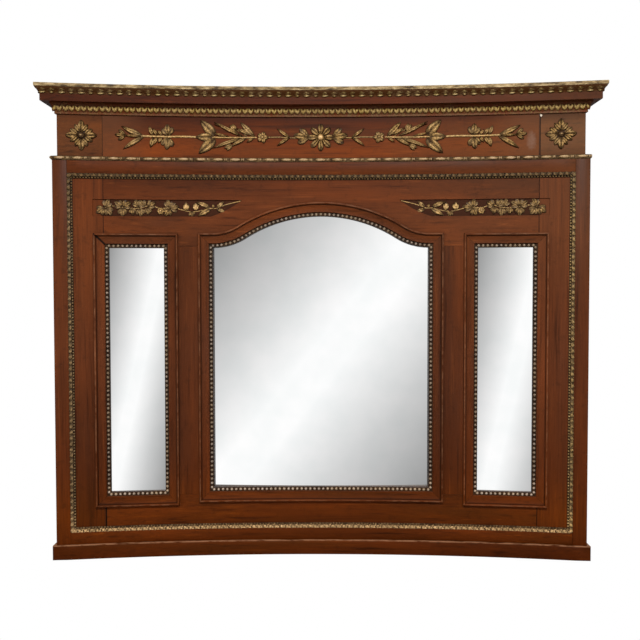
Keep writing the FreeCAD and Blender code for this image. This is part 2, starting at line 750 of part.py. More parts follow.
def make_field():
    front = -field_recess
    side_tool = through(side_outline(rebate_width, side_mirror_centre))
    tools_right = [side_tool, sunk_tool()]
    tools_left = [mirrored(tool) for tool in tools_right]
    centre_tool = through(arch_outline(rebate_width))
    mortises = [rail_tenon(stile_inner, 1, rail_line_top, field_top, tenon_clearance),
                rail_tenon(stile_inner, 1, field_bottom, rail_line_bottom, tenon_clearance)]
    stile = bent_board(front, field_back, stile_inner, border_inner, field_bottom, field_top)
    stile = one(stile.cut(tools_right + mortises))
    pieces["field_stile_right"] = stile
    pieces["field_stile_left"] = mirrored(stile)

    rail_end = stile_inner - joint_gap
    top = bent_board(front, field_back, -rail_end, rail_end, rail_line_top, field_top)
    bottom = bent_board(front, field_back, -rail_end, rail_end, field_bottom, rail_line_bottom)
    top = top.fuse([rail_tenon(side * rail_end, side, rail_line_top, field_top) for side in (-1, 1)])
    bottom = bottom.fuse([rail_tenon(side * rail_end, side, field_bottom, rail_line_bottom)
                          for side in (-1, 1)])
    top_mortises = []
    bottom_mortises = []
    for low, high in ((muntin_inner, muntin_outer), (-muntin_outer, -muntin_inner)):
        top_mortises.append(muntin_tenon(low, high, rail_line_top, 1, tenon_clearance))
        bottom_mortises.append(muntin_tenon(low, high, rail_line_bottom, -1, tenon_clearance))
    pieces["field_rail_top"] = one(top.cut(tools_right + tools_left + [centre_tool] + top_mortises))
    openings = [side_tool, mirrored(side_tool), centre_tool]
    pieces["field_rail_bottom"] = one(bottom.cut(openings + bottom_mortises))

    z_low = rail_line_bottom + joint_gap
    z_high = rail_line_top - joint_gap
    muntin = bent_board(front, field_back, muntin_inner, muntin_outer, z_low, z_high)
    muntin = muntin.fuse([muntin_tenon(muntin_inner, muntin_outer, z_high, 1),
                          muntin_tenon(muntin_inner, muntin_outer, z_low, -1)])
    muntin = one(muntin.cut([side_tool, centre_tool]))
    pieces["muntin_right"] = muntin
    pieces["muntin_left"] = mirrored(muntin)


def make_gilt_moulding():
    """Two rows of carving: a larger bead beside the border and a smaller one inside it."""
    ground = -field_recess
    split = gilt_split * gilt_width
    high = ground + gilt_height
    low = ground + gilt_shoulder * gilt_height
    section = [(0, ground), (0, low), (split / 2, high, split, low),
               ((split + gilt_width) / 2, low + gilt_small_rise * gilt_height,
                gilt_width, ground + gilt_inner_edge * gilt_height),
               (gilt_width, ground)]
    inward = [(-out, proud) for out, proud in faceted(section)]
    frame = mitred_frame(inward, -border_inner, border_inner, field_bottom, field_top, gilt_width)
    for name, shape in frame.items():
        pieces["gilt_moulding_" + name] = shape


def make_mirror(name, x_centre, members, slips):
    """Frame, pearled slips, plate and backing; gives back the fillet that holds the backing."""
    for place, shape in members.items():
        pieces[name + "_frame_" + place] = shape
    cut = [cut_to_glass(shape, x_centre) for shape in slips.values()]
    pieces[name + "_pearl_slips"] = Part.Compound(cut)
    back = glass_setback + glass_thickness
    board_start = back + seat_gap
    board_end = board_start + backing_thickness
    edge = rebate_width - seat_gap
    pieces[name + "_glass"] = plate(opening_outline(x_centre, glass_cover), x_centre, glass_setback, back)
    pieces[name + "_backing"] = plate(opening_outline(x_centre, edge), x_centre, board_start, board_end)
    ring = plate(opening_outline(x_centre, edge), x_centre, board_end, board_end + fillet_thickness)
    return one(ring.cut(through(opening_outline(x_centre, edge - fillet_width))))


def make_mirrors():
    fillets = [make_mirror("centre", 0, arched_frame(frame_section(), frame_width),
                           arched_frame(slip_section(), slip_width))]
    for name, side in (("left", -1), ("right", 1)):
        centre = side * side_mirror_centre
        half = side_sight_width / 2
        sight = (centre - half, centre + half, side_sight_bottom, side_sight_top)
        fillets.append(make_mirror(name, centre, mitred_frame(frame_section(), *sight, frame_width),
                                   mitred_frame(slip_section(), *sight, slip_width)))
    pieces["glazing_fillets"] = Part.Compound(fillets)


def make_frieze():
    front = -frieze_recess
    back = -frieze_recess - frieze_thickness
    panel_end = frieze_joint - joint_gap
    pieces["frieze_panel"] = bent_board(front, back, -panel_end, panel_end, body_top, corona_bottom)
    block = bent_board(front, back, frieze_joint, frieze_side, body_top, corona_bottom)
    pieces["frieze_block_right"] = block
    pieces["frieze_block_left"] = mirrored(block)
    ledge = necking_ledge * necking_proud
    crest, round_top = (body_top + share * necking_height for share in necking_round)
    section = [(front, body_top), (ledge, body_top), (necking_proud, crest, ledge, round_top),
               (front, body_top + necking_height)]
    pieces["necking_moulding"] = Part.Compound(wrapped_moulding(section))
    carvings = {"rosette": rosette((frieze_joint + frieze_side) / 2), "spray": spray(), "garland": garland()}
    for name, shape in carvings.items():
        pieces[name + "_right"] = shape
        pieces[name + "_left"] = mirrored(shape)
    pieces["frieze_flower"] = centre_flower()


def make_cornice():
    back = -frieze_recess
    low = frieze_top
    high = corona_bottom
    quirk = low + bed_fillet_share * bed_height
    cove_proud = back + bed_cove[0] * (bed_proud - back)
    cove_z = low + bed_cove[1] * bed_height
    bed = [(back, low), (back + bed_fillet_proud, low), (back + bed_fillet_proud, quirk),
           (back + bed_foot_proud, quirk + bed_foot_rise),
           (cove_proud, cove_z, bed_proud, high - bed_top_fillet), (bed_proud, high), (back, high)]
    pieces["bed_moulding"] = Part.Compound(wrapped_moulding(bed))
    pieces["corona_board"] = boards_over_box(corona_proud, corona_bottom, corona_top)
    crown_back = crown_proud - crown_depth
    cove_z, bead_z, nose_z = (corona_top + share * crown_height for share in crown_levels)
    bead_x, nose_x, edge_x = (crown_proud - step for step in crown_bead_steps)
    crown = [(crown_back, corona_top), (corona_proud + crown_foot_step, corona_top),
             (corona_proud + crown_cove_step, cove_z, bead_x, bead_z),
             (nose_x, nose_z, edge_x, crown_top), (crown_back, crown_top)]
    pieces["crown_moulding"] = Part.Compound(wrapped_moulding(crown))
    pieces["top_board"] = boards_over_box(crown_proud, crown_top, overall_height)
    inner = body_half_width + crown_back - packing_width
    strips = [box(-inner, inner, wall_y - packing_width, wall_y, corona_top, crown_top)]
    for side in (-1, 0, 1):
        x = side * packing_share * inner
        y_start = arc_y(crown_back, x) + packing_width
        strips.append(box(x - packing_width / 2, x + packing_width / 2, y_start,
                          wall_y - packing_width, corona_top, crown_top))
    pieces["cornice_packing"] = Part.Compound(strips)


def make_back():
    """Rails across the back; the upper one carries two hanging plates let in flush."""
    half = body_half_width - side_thickness
    y_start = wall_y - back_rail_thickness
    top_rail = box(-half, half, y_start, wall_y, corona_bottom - back_rail_height, corona_bottom)
    pieces["back_rail_bottom"] = box(-half, half, y_start, wall_y, base_height,
                                     base_height + back_rail_height)
    z_top = corona_bottom - hanger_drop
    z_mid = z_top - hanger_height / 2
    plates = []
    for side in (-1, 1):
        x = side * hanger_spacing / 2
        body = box(x - hanger_width / 2, x + hanger_width / 2, wall_y - hanger_thickness, wall_y,
                   z_top - hanger_height, z_top)
        start = Vector(x, wall_y + hanger_thickness, z_mid)
        inward = Vector(0, -1, 0)
        pocket_depth = hanger_thickness + hanger_pocket_depth
        pocket = Part.makeCylinder(hanger_pocket_radius, pocket_depth, start, inward)
        hole = Part.makeCylinder(hanger_hole_radius, 3 * hanger_thickness, start, inward)
        top_rail = top_rail.cut([body, pocket])
        plates.append(one(body.cut(hole)))
    pieces["back_rail_top"] = one(top_rail)
    pieces["hanging_plates"] = Part.Compound(plates)


for make in (make_base, make_border, make_sides, make_field, make_gilt_moulding, make_mirrors,
             make_frieze, make_cornice, make_back):
    make()

os.makedirs("parts", exist_ok=True)
for name, shape in pieces.items():
    shape.exportStep("parts/" + name + ".step")
print(len(pieces), "nodes written")
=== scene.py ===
"""Looks of a three-part overmantel mirror whose carved walnut front is concave in plan."""

import math

import bmesh
import bpy
from mathutils import Matrix, Vector


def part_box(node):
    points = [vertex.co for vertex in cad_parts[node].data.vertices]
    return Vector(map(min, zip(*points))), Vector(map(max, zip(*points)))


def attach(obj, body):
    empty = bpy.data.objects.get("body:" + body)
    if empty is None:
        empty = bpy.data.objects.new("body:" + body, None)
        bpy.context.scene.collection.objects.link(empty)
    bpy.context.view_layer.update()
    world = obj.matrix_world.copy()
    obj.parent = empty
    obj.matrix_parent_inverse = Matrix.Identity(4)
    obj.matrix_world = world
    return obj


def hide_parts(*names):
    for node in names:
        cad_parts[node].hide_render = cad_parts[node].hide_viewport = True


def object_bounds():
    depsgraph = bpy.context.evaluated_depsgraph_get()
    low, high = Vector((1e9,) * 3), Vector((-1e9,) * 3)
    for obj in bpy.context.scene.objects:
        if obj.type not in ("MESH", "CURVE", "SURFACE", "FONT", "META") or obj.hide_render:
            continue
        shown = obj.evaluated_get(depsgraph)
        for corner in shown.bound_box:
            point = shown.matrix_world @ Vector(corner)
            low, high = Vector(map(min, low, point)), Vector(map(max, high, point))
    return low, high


bl_info = {
    "name": "Overmantel mirror looks",
    "version": (1, 0, 0),
    "blender": (4, 5, 0),
    "location": "View3D > Sidebar > Mirror",
    "description": "Carved and gilt mouldings, pearled slips, wood and silvered plates on a packed frame",
    "category": "Object",
}

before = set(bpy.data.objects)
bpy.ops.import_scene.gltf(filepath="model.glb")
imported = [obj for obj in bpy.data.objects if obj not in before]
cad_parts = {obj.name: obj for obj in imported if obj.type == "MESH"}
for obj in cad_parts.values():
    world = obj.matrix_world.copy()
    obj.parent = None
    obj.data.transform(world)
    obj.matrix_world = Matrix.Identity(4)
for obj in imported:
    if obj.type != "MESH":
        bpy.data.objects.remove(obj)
CAD_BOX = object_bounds()

# ---- sizes, in metres, that follow the frame --------------------------------------------------
MM = 0.001
FACE_RADIUS = 4690 * MM            # concave body face, seen from above
BORDER_THICKNESS = 46 * MM
BODY_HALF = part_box("border_stile_right")[1].x
BORDER_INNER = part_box("border_rail_top")[1].x
AXIS_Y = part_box("border_rail_top")[1].y - BORDER_THICKNESS - FACE_RADIUS
WALL_Y = CAD_BOX[1].y
BASE_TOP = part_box("base_rail")[1].z
BODY_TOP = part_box("border_rail_top")[1].z
FIELD_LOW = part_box("gilt_moulding_bottom")[0].z
FIELD_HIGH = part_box("gilt_moulding_top")[1].z
JOINT_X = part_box("frieze_panel")[1].x
FRIEZE_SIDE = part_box("frieze_block_right")[1].x
NECKING_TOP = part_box("necking_moulding")[1].z
BED_LOW, BED_HIGH = (corner.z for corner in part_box("bed_moulding"))
CROWN_LOW, CROWN_HIGH = (corner.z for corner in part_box("crown_moulding"))
TOP = CAD_BOX[1].z
FIELD = -6 * MM                    # field face, proud of the body face
FRIEZE = -12 * MM
PANEL_GROUND = -10 * MM            # ground of the sunk garland panels
BASE_PROUD = 10 * MM
BASE_THICKNESS = 52 * MM
BASE_CORNER = 7 * MM               # radius of the base's end corners
BASE_EASED = 2.2 * MM
EASED = 1.2 * MM                   # bevel along the edges of boards
SEAM = 0.15 * MM                   # half the gap between two boards
CORONA_PROUD = 25 * MM
CROWN_PROUD = 38 * MM
CROWN_DEPTH = 30 * MM
NECKING_PROUD = 7 * MM
GILT_WIDTH = 15 * MM
GILT_HEIGHT = 9 * MM
STILE_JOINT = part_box("field_stile_right")[0].x
FRAME_WIDTH = 44 * MM
FRAME_HEIGHT = 11 * MM
FRAME_BEAD = 3.6 * MM              # radius of the bead round a frame
FRAME_QUIRK = FRAME_WIDTH - 2 * FRAME_BEAD - 0.8 * MM
SLIP_WIDTH = 12 * MM
SLIP_LIP = 0.2 * MM                # sight edge to the slip's inner edge
SLIP_DROP = 3.4 * MM               # slip's ground below the field
SLIP_DEPTH = 34 * MM
PLATE_SETBACK = 17.9 * MM          # body face to the front of a plate
SHOULDER_RADIUS = 187 * MM
JOINT = 0.5 * MM                   # half width of the dirt in a mitre
RUBBED_AND_LIT, SOILED_AND_SHADED, JOINT_DIRT = 1.0, -0.36, -1.0      # values of the wear layer; the rubbed value also paints a highlight, the soiled one painted shade as well as dirt
OPEN_JOINT = 5.5 * MM              # the left mirror's upper left mitre has opened
SIDES = ("bottom", "top", "left", "right")


def linear(code):
    """Colour written as sRGB hex, in linear light."""
    parts = [int(code[k:k + 2], 16) / 255 for k in (1, 3, 5)]
    return tuple(c / 12.92 if c <= 0.04045 else ((c + 0.055) / 1.055) ** 2.4 for c in parts)


def length_setting(name, description, size):
    return bpy.props.FloatProperty(name=name, description=description, default=size * MM, unit="LENGTH")


def colour_setting(name, description, code):
    return bpy.props.FloatVectorProperty(name=name, description=description, subtype="COLOR",
                                         default=linear(code))


class MirrorSettings(bpy.types.PropertyGroup):
    pearl_diameter: length_setting("Pearl diameter", "Diameter of one carved pearl", 9.4)
    pearl_pitch: length_setting("Pearl pitch", "Distance from one pearl to the next", 13.5)
    crown_pitch: length_setting("Crown pitch", "Width of one tongue of the crown", 27.5)
    bed_pitch: length_setting("Bed pitch", "A broad and a narrow leaf of the bed moulding", 35.4)
    olive_pitch: length_setting("Olive pitch", "Olive and its two beads on the necking", 51.5)
    gilt_pitch: length_setting("Gilt pitch", "Width of one leaf of the gilt moulding", 17.5)
    wood_light: colour_setting("Wood, light figure", "Lightest streaks of the stained walnut", "#8a4a24")
    wood_mid: colour_setting("Wood, ground", "Main colour of the stained walnut", "#6c371a")
    wood_dark: colour_setting("Wood, dark figure", "Pores and dark streaks of the walnut", "#4c2611")
    gilt_light: colour_setting("Gilding, crests", "Gold left on the highest carving", "#a8844f")
    gilt_dark: colour_setting("Gilding, hollows", "Dark glaze in the hollows of the carving", "#2c1a0b")
    gradient_grey: colour_setting("Room, dim side", "Grey that the plates show of the room's dim sides",
                                  "#989898")


def settings():
    return bpy.context.scene.mirror_looks


# ---- node materials ---------------------------------------------------------------------------
def feed(tree, made, inputs):
    """Gives each socket its value, or joins it to an output socket."""
    for socket, value in inputs:
        if isinstance(value, bpy.types.NodeSocket):
            tree.links.new(value, made.inputs[socket])
        else:
            made.inputs[socket].default_value = value


def node(tree, kind, inputs=(), **attributes):
    """Adds a node: attributes are set on it, inputs are pairs of socket and value or output socket."""
    made = tree.nodes.new(kind)
    for name, value in attributes.items():
        setattr(made, name, value)
    feed(tree, made, inputs)
    return made


def ramp(tree, factor, stops):
    """Colour ramp; each stop is a position and a linear colour or a grey."""
    made = node(tree, "ShaderNodeValToRGB", [("Fac", factor)])
    elements = made.color_ramp.elements
    for index, (position, colour) in enumerate(stops):
        element = elements[index] if index < 2 else elements.new(position)
        element.position = position
        element.color = (*colour, 1) if isinstance(colour, tuple) else (colour, colour, colour, 1)
    return made.outputs["Color"]


def mixed(tree, factor, first, second, blend="MIX"):
    """Colour mix; first and second are colours or sockets."""
    inputs = [(index, (*value, 1) if isinstance(value, tuple) else value)
              for index, value in ((0, factor), (6, first), (7, second))]
    return node(tree, "ShaderNodeMix", inputs, data_type="RGBA", blend_type=blend).outputs[2]


def maths(tree, operation, *values):
    return node(tree, "ShaderNodeMath", enumerate(values), operation=operation).outputs[0]


def between(tree, value, low, high, out_low=0.0, out_high=1.0):
    """Maps a value from one range to another, clamped."""
    inputs = zip(("Value", "From Min", "From Max", "To Min", "To Max"), (value, low, high, out_low, out_high))
    return node(tree, "ShaderNodeMapRange", inputs).outputs["Result"]


def split(tree, vector):
    """X, Y and Z of a vector."""
    return node(tree, "ShaderNodeSeparateXYZ", [(0, vector)]).outputs


def object_place(tree):
    return node(tree, "ShaderNodeTexCoord").outputs["Object"]


def new_material(name):
    material = bpy.data.materials.new(name)
    material.use_nodes = True
    tree = material.node_tree
    return material, tree, tree.nodes["Principled BSDF"], object_place(tree)


def noise(tree, place, size, detail=3.0, roughness=0.55, stretch=(1, 1, 1), offset=0.0):
    """Noise of about this size in metres, longer where stretch is larger."""
    scale = [1 / (size * s) for s in stretch]
    mapping = node(tree, "ShaderNodeMapping", [("Vector", place), ("Scale", scale),
                                               ("Location", (offset, 2 * offset, 3 * offset))])
    made = node(tree, "ShaderNodeTexNoise", [("Vector", mapping.outputs[0]), ("Scale", 1.0),
                                             ("Detail", detail), ("Roughness", roughness)])
    return made.outputs["Fac"]


def bump(tree, shader, height, distance, strength=0.5):
    made = node(tree, "ShaderNodeBump", [("Height", height), ("Distance", distance), ("Strength", strength)])
    tree.links.new(made.outputs[0], shader.inputs["Normal"])


def grained(axis, reach):
    """Stretch of a noise that runs along one axis."""
    return [reach if k == axis else 1.0 for k in range(3)]


# What wood is multiplied by at each height; heights are shares of WOOD_HEIGHT.
WOOD_HEIGHT = 1.25
WOOD_TONES = [(0.0, (0.44, 0.32, 0.08)), (0.1, (0.66, 0.52, 0.12)), (0.22, (0.54, 0.47, 0.36)),
              (0.5, (0.63, 0.66, 0.78)), (0.8, (0.64, 0.64, 0.6)), (0.95, (0.52, 0.48, 0.4))]


# Walnut, stained red and wax polished: soft streaks run along the grain, with orange lights where the
# stain is thin and dull patches. Its tone changes with height, it is paler high up on the right,
# edges are rubbed pale with a painted highlight, quirks hold dirt and painted shade, ground behind
# the field gets painted shade and joints hold dirt.
def walnut(name, axis, marks=(), offset=0.0, sunk=False, shade=(1, 1, 1)):
    """Wood with its grain along one axis. marks are joint lines across x: place, half width and the
    heights between which the line runs. sunk paints shade on ground that lies behind the field, and
    shade multiplies the whole colour."""
    material, tree, shader, place = new_material(name)
    parts = split(tree, place)
    along, wide = grained(axis, 30.0), grained(axis, 7.0)
    figure = noise(tree, place, 10 * MM, 4.0, 0.6, along, offset)
    streaks = noise(tree, place, 2.6 * MM, 3.0, 0.65, along, offset + 5)
    patches = noise(tree, place, 60 * MM, 3.0, 0.5, wide, offset + 9)
    grime = noise(tree, place, 26 * MM, 5.0, 0.7, offset=offset + 2)
    specks = noise(tree, place, 2.2 * MM, 2.0, 0.5, offset=offset + 7)
    clouds = noise(tree, place, 150 * MM, 2.0, 0.5, wide, offset + 4)
    light, mid, dark = (tuple(getattr(settings(), "wood_" + key)) for key in ("light", "mid", "dark"))
    base = ramp(tree, figure, [(0.3, dark), (0.45, mid), (0.58, mid), (0.76, light)])
    lines = ramp(tree, streaks, [(0.34, 0.78), (0.5, 1.0), (0.64, 1.05)])
    base = mixed(tree, 0.9, base, lines, "MULTIPLY")
    thin_stain = ramp(tree, patches, [(0.5, 0.0), (0.72, 0.45)])
    dull = ramp(tree, patches, [(0.3, 0.5), (0.46, 0.0)])
    paler_upper_right = maths(tree, "MULTIPLY", between(tree, parts["X"], 0.15, 0.84),
                     between(tree, parts["Z"], 0.75, 1.3, 0.0, 0.5))
    grimy = ramp(tree, grime, [(0.3, 0.4), (0.44, 0.0)])
    chips = ramp(tree, specks, [(0.735, 0.0), (0.76, 0.6)])
    for share, code in ((thin_stain, "#8a441c"), (dull, "#573322"), (paler_upper_right, "#7a5239"),
                        (grimy, "#402312"), (chips, "#a07a58")):
        base = mixed(tree, share, base, linear(code))
    cloud = ramp(tree, clouds, [(0.36, 0.74), (0.62, 1.12)])
    tone = ramp(tree, between(tree, parts["Z"], 0.0, WOOD_HEIGHT), WOOD_TONES)
    for factor in (cloud, tone, shade):
        base = mixed(tree, 1.0, base, factor, "MULTIPLY")
    wear = node(tree, "ShaderNodeAttribute", attribute_name="wear").outputs["Fac"]
    # Pale where the wear layer is high: rubbed wear and a painted highlight on crests.
    rubbed = maths(tree, "MULTIPLY", between(tree, wear, 0.4, 1.0, 0.0, 0.22),
                   ramp(tree, grime, [(0.42, 0.0), (0.6, 1.0)]))
    base = mixed(tree, rubbed, base, linear("#a0785a"))
    # Dark where the wear layer is below zero: dirt in joints, and dirt with painted shade in the frames'
    # quirks and along their outer foot.
    base = mixed(tree, between(tree, wear, -0.5, -0.05, 1.0, 0.0), base, linear("#140803"))
    # Painted shade on ground that lies about 7 mm or more behind the face.
    if sunk:
        from_axis = maths(tree, "SUBTRACT", parts["Y"], AXIS_Y)
        flat = node(tree, "ShaderNodeCombineXYZ", [(0, parts["X"]), (1, from_axis)]).outputs[0]
        reach = node(tree, "ShaderNodeVectorMath", [(0, flat)], operation="LENGTH").outputs["Value"]
        depth = maths(tree, "SUBTRACT", reach, FACE_RADIUS)
        base = mixed(tree, between(tree, depth, 6.5 * MM, 7.5 * MM, 0.0, 0.86), base, linear("#2c1508"))
    for centre, half, low, high in marks:
        line = between(tree, maths(tree, "ABSOLUTE", maths(tree, "SUBTRACT", parts["X"], centre)),
                       half * 0.5, half, 1.0, 0.0)
        for side, limit in (("GREATER_THAN", low), ("LESS_THAN", high)):
            line = maths(tree, "MULTIPLY", line, maths(tree, side, parts["Z"], limit))
        base = mixed(tree, line, base, linear("#160a05"))
    feed(tree, shader, [("Base Color", base), ("Roughness", ramp(tree, patches, [(0.35, 0.4), (0.7, 0.55)])),
                        ("Specular IOR Level", 0.06)])
    bump(tree, shader, streaks, 0.35 * MM, 0.4)
    return material


def recoloured(material, change):
    """Puts one more step, made by change(tree, place, old colour), before the shader's colour."""
    tree = material.node_tree
    socket = tree.nodes["Principled BSDF"].inputs["Base Color"]
    tree.links.new(change(tree, object_place(tree), socket.links[0].from_socket), socket)


# Gilding on carved wood: gold leaf rubbed through on the crests, whose palest tops carry a painted highlight
# as well, brown glaze and dust in the hollows.
def gilding(name, light=None, offset=0.0, tone_and_light_by_height=((0.0, 1.0), (1.0, 1.0)), dark=None):
    """Gilding on carving. The height pairs give a height, as a share of the whole, and the brightness there;
    where the brightness changes with height it is painted light and shade.
    """
    material, tree, shader, place = new_material(name)
    crest = linear(light) if light else tuple(settings().gilt_light)
    hollow = linear(dark) if dark else tuple(settings().gilt_dark)
    relief = node(tree, "ShaderNodeAttribute", attribute_name="relief").outputs["Fac"]
    wear = noise(tree, place, 5 * MM, 4.0, 0.65, offset=offset)
    patches = noise(tree, place, 45 * MM, 2.0, 0.5, offset=offset + 3)
    depth = maths(tree, "ADD", relief, maths(tree, "MULTIPLY", maths(tree, "SUBTRACT", wear, 0.5), 1.3))
    middle = tuple((a + b) / 3.2 for a, b in zip(crest, hollow))
    # The palest tier on the highest crests is burnished gold and also a painted highlight.
    pale = tuple(min(0.9, 1.6 * c + 0.1) for c in crest)
    colour = ramp(tree, depth, [(0.2, hollow), (0.44, middle), (0.68, crest), (0.95, pale)])
    rubbed = ramp(tree, patches, [(0.42, 0.42), (0.6, 0.0)])
    colour = mixed(tree, rubbed, colour, mixed(tree, depth, linear("#3c2412"), linear("#a3875e")))
    # Brightness by height: painted light and shade where it changes, brightest on the bottom runs that face
    # up to the light.
    height = maths(tree, "DIVIDE", split(tree, place)["Z"], TOP)
    colour = mixed(tree, 1.0, colour, ramp(tree, height, tone_and_light_by_height), "MULTIPLY")
    feed(tree, shader, [("Base Color", colour), ("Roughness", ramp(tree, wear, [(0.3, 0.38), (0.7, 0.62)])),
                        ("Metallic", 0.15), ("Specular IOR Level", 0.12)])
    bump(tree, shader, wear, 0.7 * MM, 0.6)
    return material


# Crown glass silvered with tin: bright, neutral, with a faint uneven haze.
def silvered_plate():
    material, tree, shader, place = new_material("silvered_plate")
    haze = noise(tree, place, 90 * MM, 2.0, 0.5)
    tint = ramp(tree, haze, [(0.3, linear("#f4f6f6")), (0.7, linear("#fbfbfb"))])
    feed(tree, shader, [("Base Color", tint), ("Metallic", 1.0), ("Roughness", 0.015)])
    return material


# Bare pine, browned with age: darker lines along the grain and dusty patches.
def pine(name, axis):
    material, tree, shader, place = new_material(name)
    rings = noise(tree, place, 6 * MM, 2.0, 0.5, grained(axis, 40.0))
    dust = noise(tree, place, 60 * MM, 4.0, 0.6)
    base = ramp(tree, rings, [(0.35, linear("#8a6440")), (0.5, linear("#b08a5c")), (0.66, linear("#bf9a6a"))])
    base = mixed(tree, ramp(tree, dust, [(0.4, 0.5), (0.6, 0.0)]), base, linear("#6f563c"))
    feed(tree, shader, [("Base Color", base), ("Roughness", 0.8)])
    bump(tree, shader, rings, 0.4 * MM, 0.4)
    return material


# Forged iron: dark scale with brown rust blooms, dull.
def iron(name):
    material, tree, shader, place = new_material(name)
    rust = noise(tree, place, 4 * MM, 5.0, 0.7)
    base = ramp(tree, rust, [(0.4, linear("#2b2826")), (0.56, linear("#3a2f28")), (0.7, linear("#6b4027"))])
    feed(tree, shader, [("Base Color", base), ("Roughness", ramp(tree, rust, [(0.4, 0.45), (0.65, 0.85)])),
                        ("Metallic", 0.7)])
    bump(tree, shader, rust, 0.3 * MM, 0.5)
    return material


LONG, DEEP, UPRIGHT = 0, 1, 2
MAKERS = {  # each material's maker and what it is given
    "walnut_long": (walnut, "walnut_long", LONG),
    "walnut_upright": (walnut, "walnut_upright", UPRIGHT, (), 1.7),
    "walnut_deep": (walnut, "walnut_deep", DEEP, (), 3.1),
    "gilding": (gilding, "gilding_on_walnut"),
    "moulding_gilding": (gilding, "rubbed_gilding", "#7d613a", 4.0),
    # Brightness by height on the border moulding: painted light and shade, the bottom run brighter where it
    # faces up to the light and the upper runs darker.
    "border_gilding": (gilding, "border_gilding", "#b89466", 5.0,
                       ((0.05, 1.55), (0.12, 0.6), (0.7, 0.52), (0.84, (0.29, 0.26, 0.2)))),
    "right_gilding": (gilding, "border_gilding_right", "#bd9a62", 5.0,
                      ((0.05, 1.5), (0.12, 0.72), (0.7, 0.68), (0.84, 0.4))),
    "crown_gilding": (gilding, "dull_gilding", "#86703c", 6.0, ((0.0, 0.86), (1.0, 0.86)), "#462608"),
    "bed_gilding": (gilding, "bed_gilding", "#9a7e40", 7.0, ((0.0, 0.84), (1.0, 0.84)), "#572608"),
    # Pearls brighter on the bottom run: painted light.
    "pearl_bronze": (gilding, "bronzed_pearls", "#7c6a5a", 8.0, ((0.13, 1.5), (0.17, 0.72), (0.7, 0.72))),
    "plate": (silvered_plate,),
    "pine_long": (pine, "pine_long", LONG),
    "pine_upright": (pine, "pine_upright", UPRIGHT),
    "iron": (iron, "forged_iron"),
}
made_materials = {}


def material_for(key):
    if key not in made_materials:
        maker, *given = MAKERS[key]
        made_materials[key] = maker(*given)
    return made_materials[key]


def paint(thing, material):
    """Gives an object or a CAD node its material, in one slot."""
    if isinstance(material, str):
        material = material_for(material)
    thing.data.materials.clear()
    thing.data.materials.append(material)


def paint_nodes(names, material):
    for name in names:
        paint(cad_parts[name], material)


# ---- geometry ---------------------------------------------------------------------------------
def on_face(point):
    """Bends a point drawn flat, with -y proud of the face, on to the concave front."""
    reach = FACE_RADIUS + point.y
    return Vector((point.x, AXIS_Y + math.sqrt(reach * reach - point.x * point.x), point.z))


def float_layer(bm, name):
    """Layer of values on the points, made before any point is held, as making one renews them all."""
    layers = bm.verts.layers.float
    return layers.get(name) or layers.new(name)


def set_relief(bm, level, start=0):
    """Relief of the points from start on: one value, or what level says of a point's place."""
    layer = float_layer(bm, "relief")
    bm.verts.ensure_lookup_table()
    for vert in bm.verts[start:]:
        vert[layer] = level(vert.co) if callable(level) else level


def new_object(name, bm):
    """Object of a finished bmesh, linked to the scene."""
    mesh = bpy.data.meshes.new(name)
    bm.to_mesh(mesh)
    bm.free()
    thing = bpy.data.objects.new(name, mesh)
    bpy.context.scene.collection.objects.link(thing)
    return thing


def finish_piece(name, bm, material, nodes=(), bent=True, sharp=32):
    """Turns a finished bmesh into an object that rides on the frame."""
    if bent:
        for vert in bm.verts:
            vert.co = on_face(vert.co)
    for vert in bm.verts:
        vert.co.y = min(vert.co.y, WALL_Y)
    bmesh.ops.remove_doubles(bm, verts=bm.verts, dist=0.005 * MM)
    bmesh.ops.recalc_face_normals(bm, faces=bm.faces)
    limit = math.radians(sharp)
    for face in bm.faces:
        face.smooth = True
    for edge in bm.edges:
        edge.smooth = len(edge.link_faces) == 2 and edge.calc_face_angle(0.0) < limit
    thing = new_object(name, bm)
    paint(thing, material)
    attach(thing, "root")
    if nodes:
        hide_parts(*nodes)
    return thing


def arc(centre, radius, start, end, steps):
    """Points of a round stretch, angles in degrees."""
    return [(centre[0] + radius * math.cos(math.radians(start + (end - start) * k / steps)),
             centre[1] + radius * math.sin(math.radians(start + (end - start) * k / steps)))
            for k in range(steps + 1)]


def sweep(bm, profile, stations, place, levels=None, ends=0):
    """Carries a closed profile through stations and closes both ends. levels are wear values of the
    profile points, which on the frames also paint highlights on crests and shade in creases; the first
    and last stations, as many as ends says, are soiled joints."""
    layer = float_layer(bm, "wear")
    loops = []
    for index, station in enumerate(stations):
        soiled = index < ends or index >= len(stations) - ends
        verts = [bm.verts.new(place(station, a, b)) for a, b in profile]
        for k, vert in enumerate(verts):
            vert[layer] = JOINT_DIRT if soiled else levels[k] if levels else 0.0
        loops.append([bm.edges.new((verts[k - 1], verts[k])) for k in range(len(verts))])
    for first, second in zip(loops, loops[1:]):
        bmesh.ops.bridge_loops(bm, edges=first + second)
    for end in (loops[0], loops[-1]):
        bmesh.ops.contextual_create(bm, geom=end)


def spaced(start, end, step):
    """Evenly spaced values from start to end, about a step apart."""
    count = max(1, round(abs(end - start) / step))
    return [start + (end - start) * k / count for k in range(count + 1)]


def opening_place(station, out, proud):
    """Profile point out from a mirror's sight edge, at a station of place and outward direction."""
    x, z, out_x, out_z = station
    return Vector((x + out * out_x, -proud, z + out * out_z))


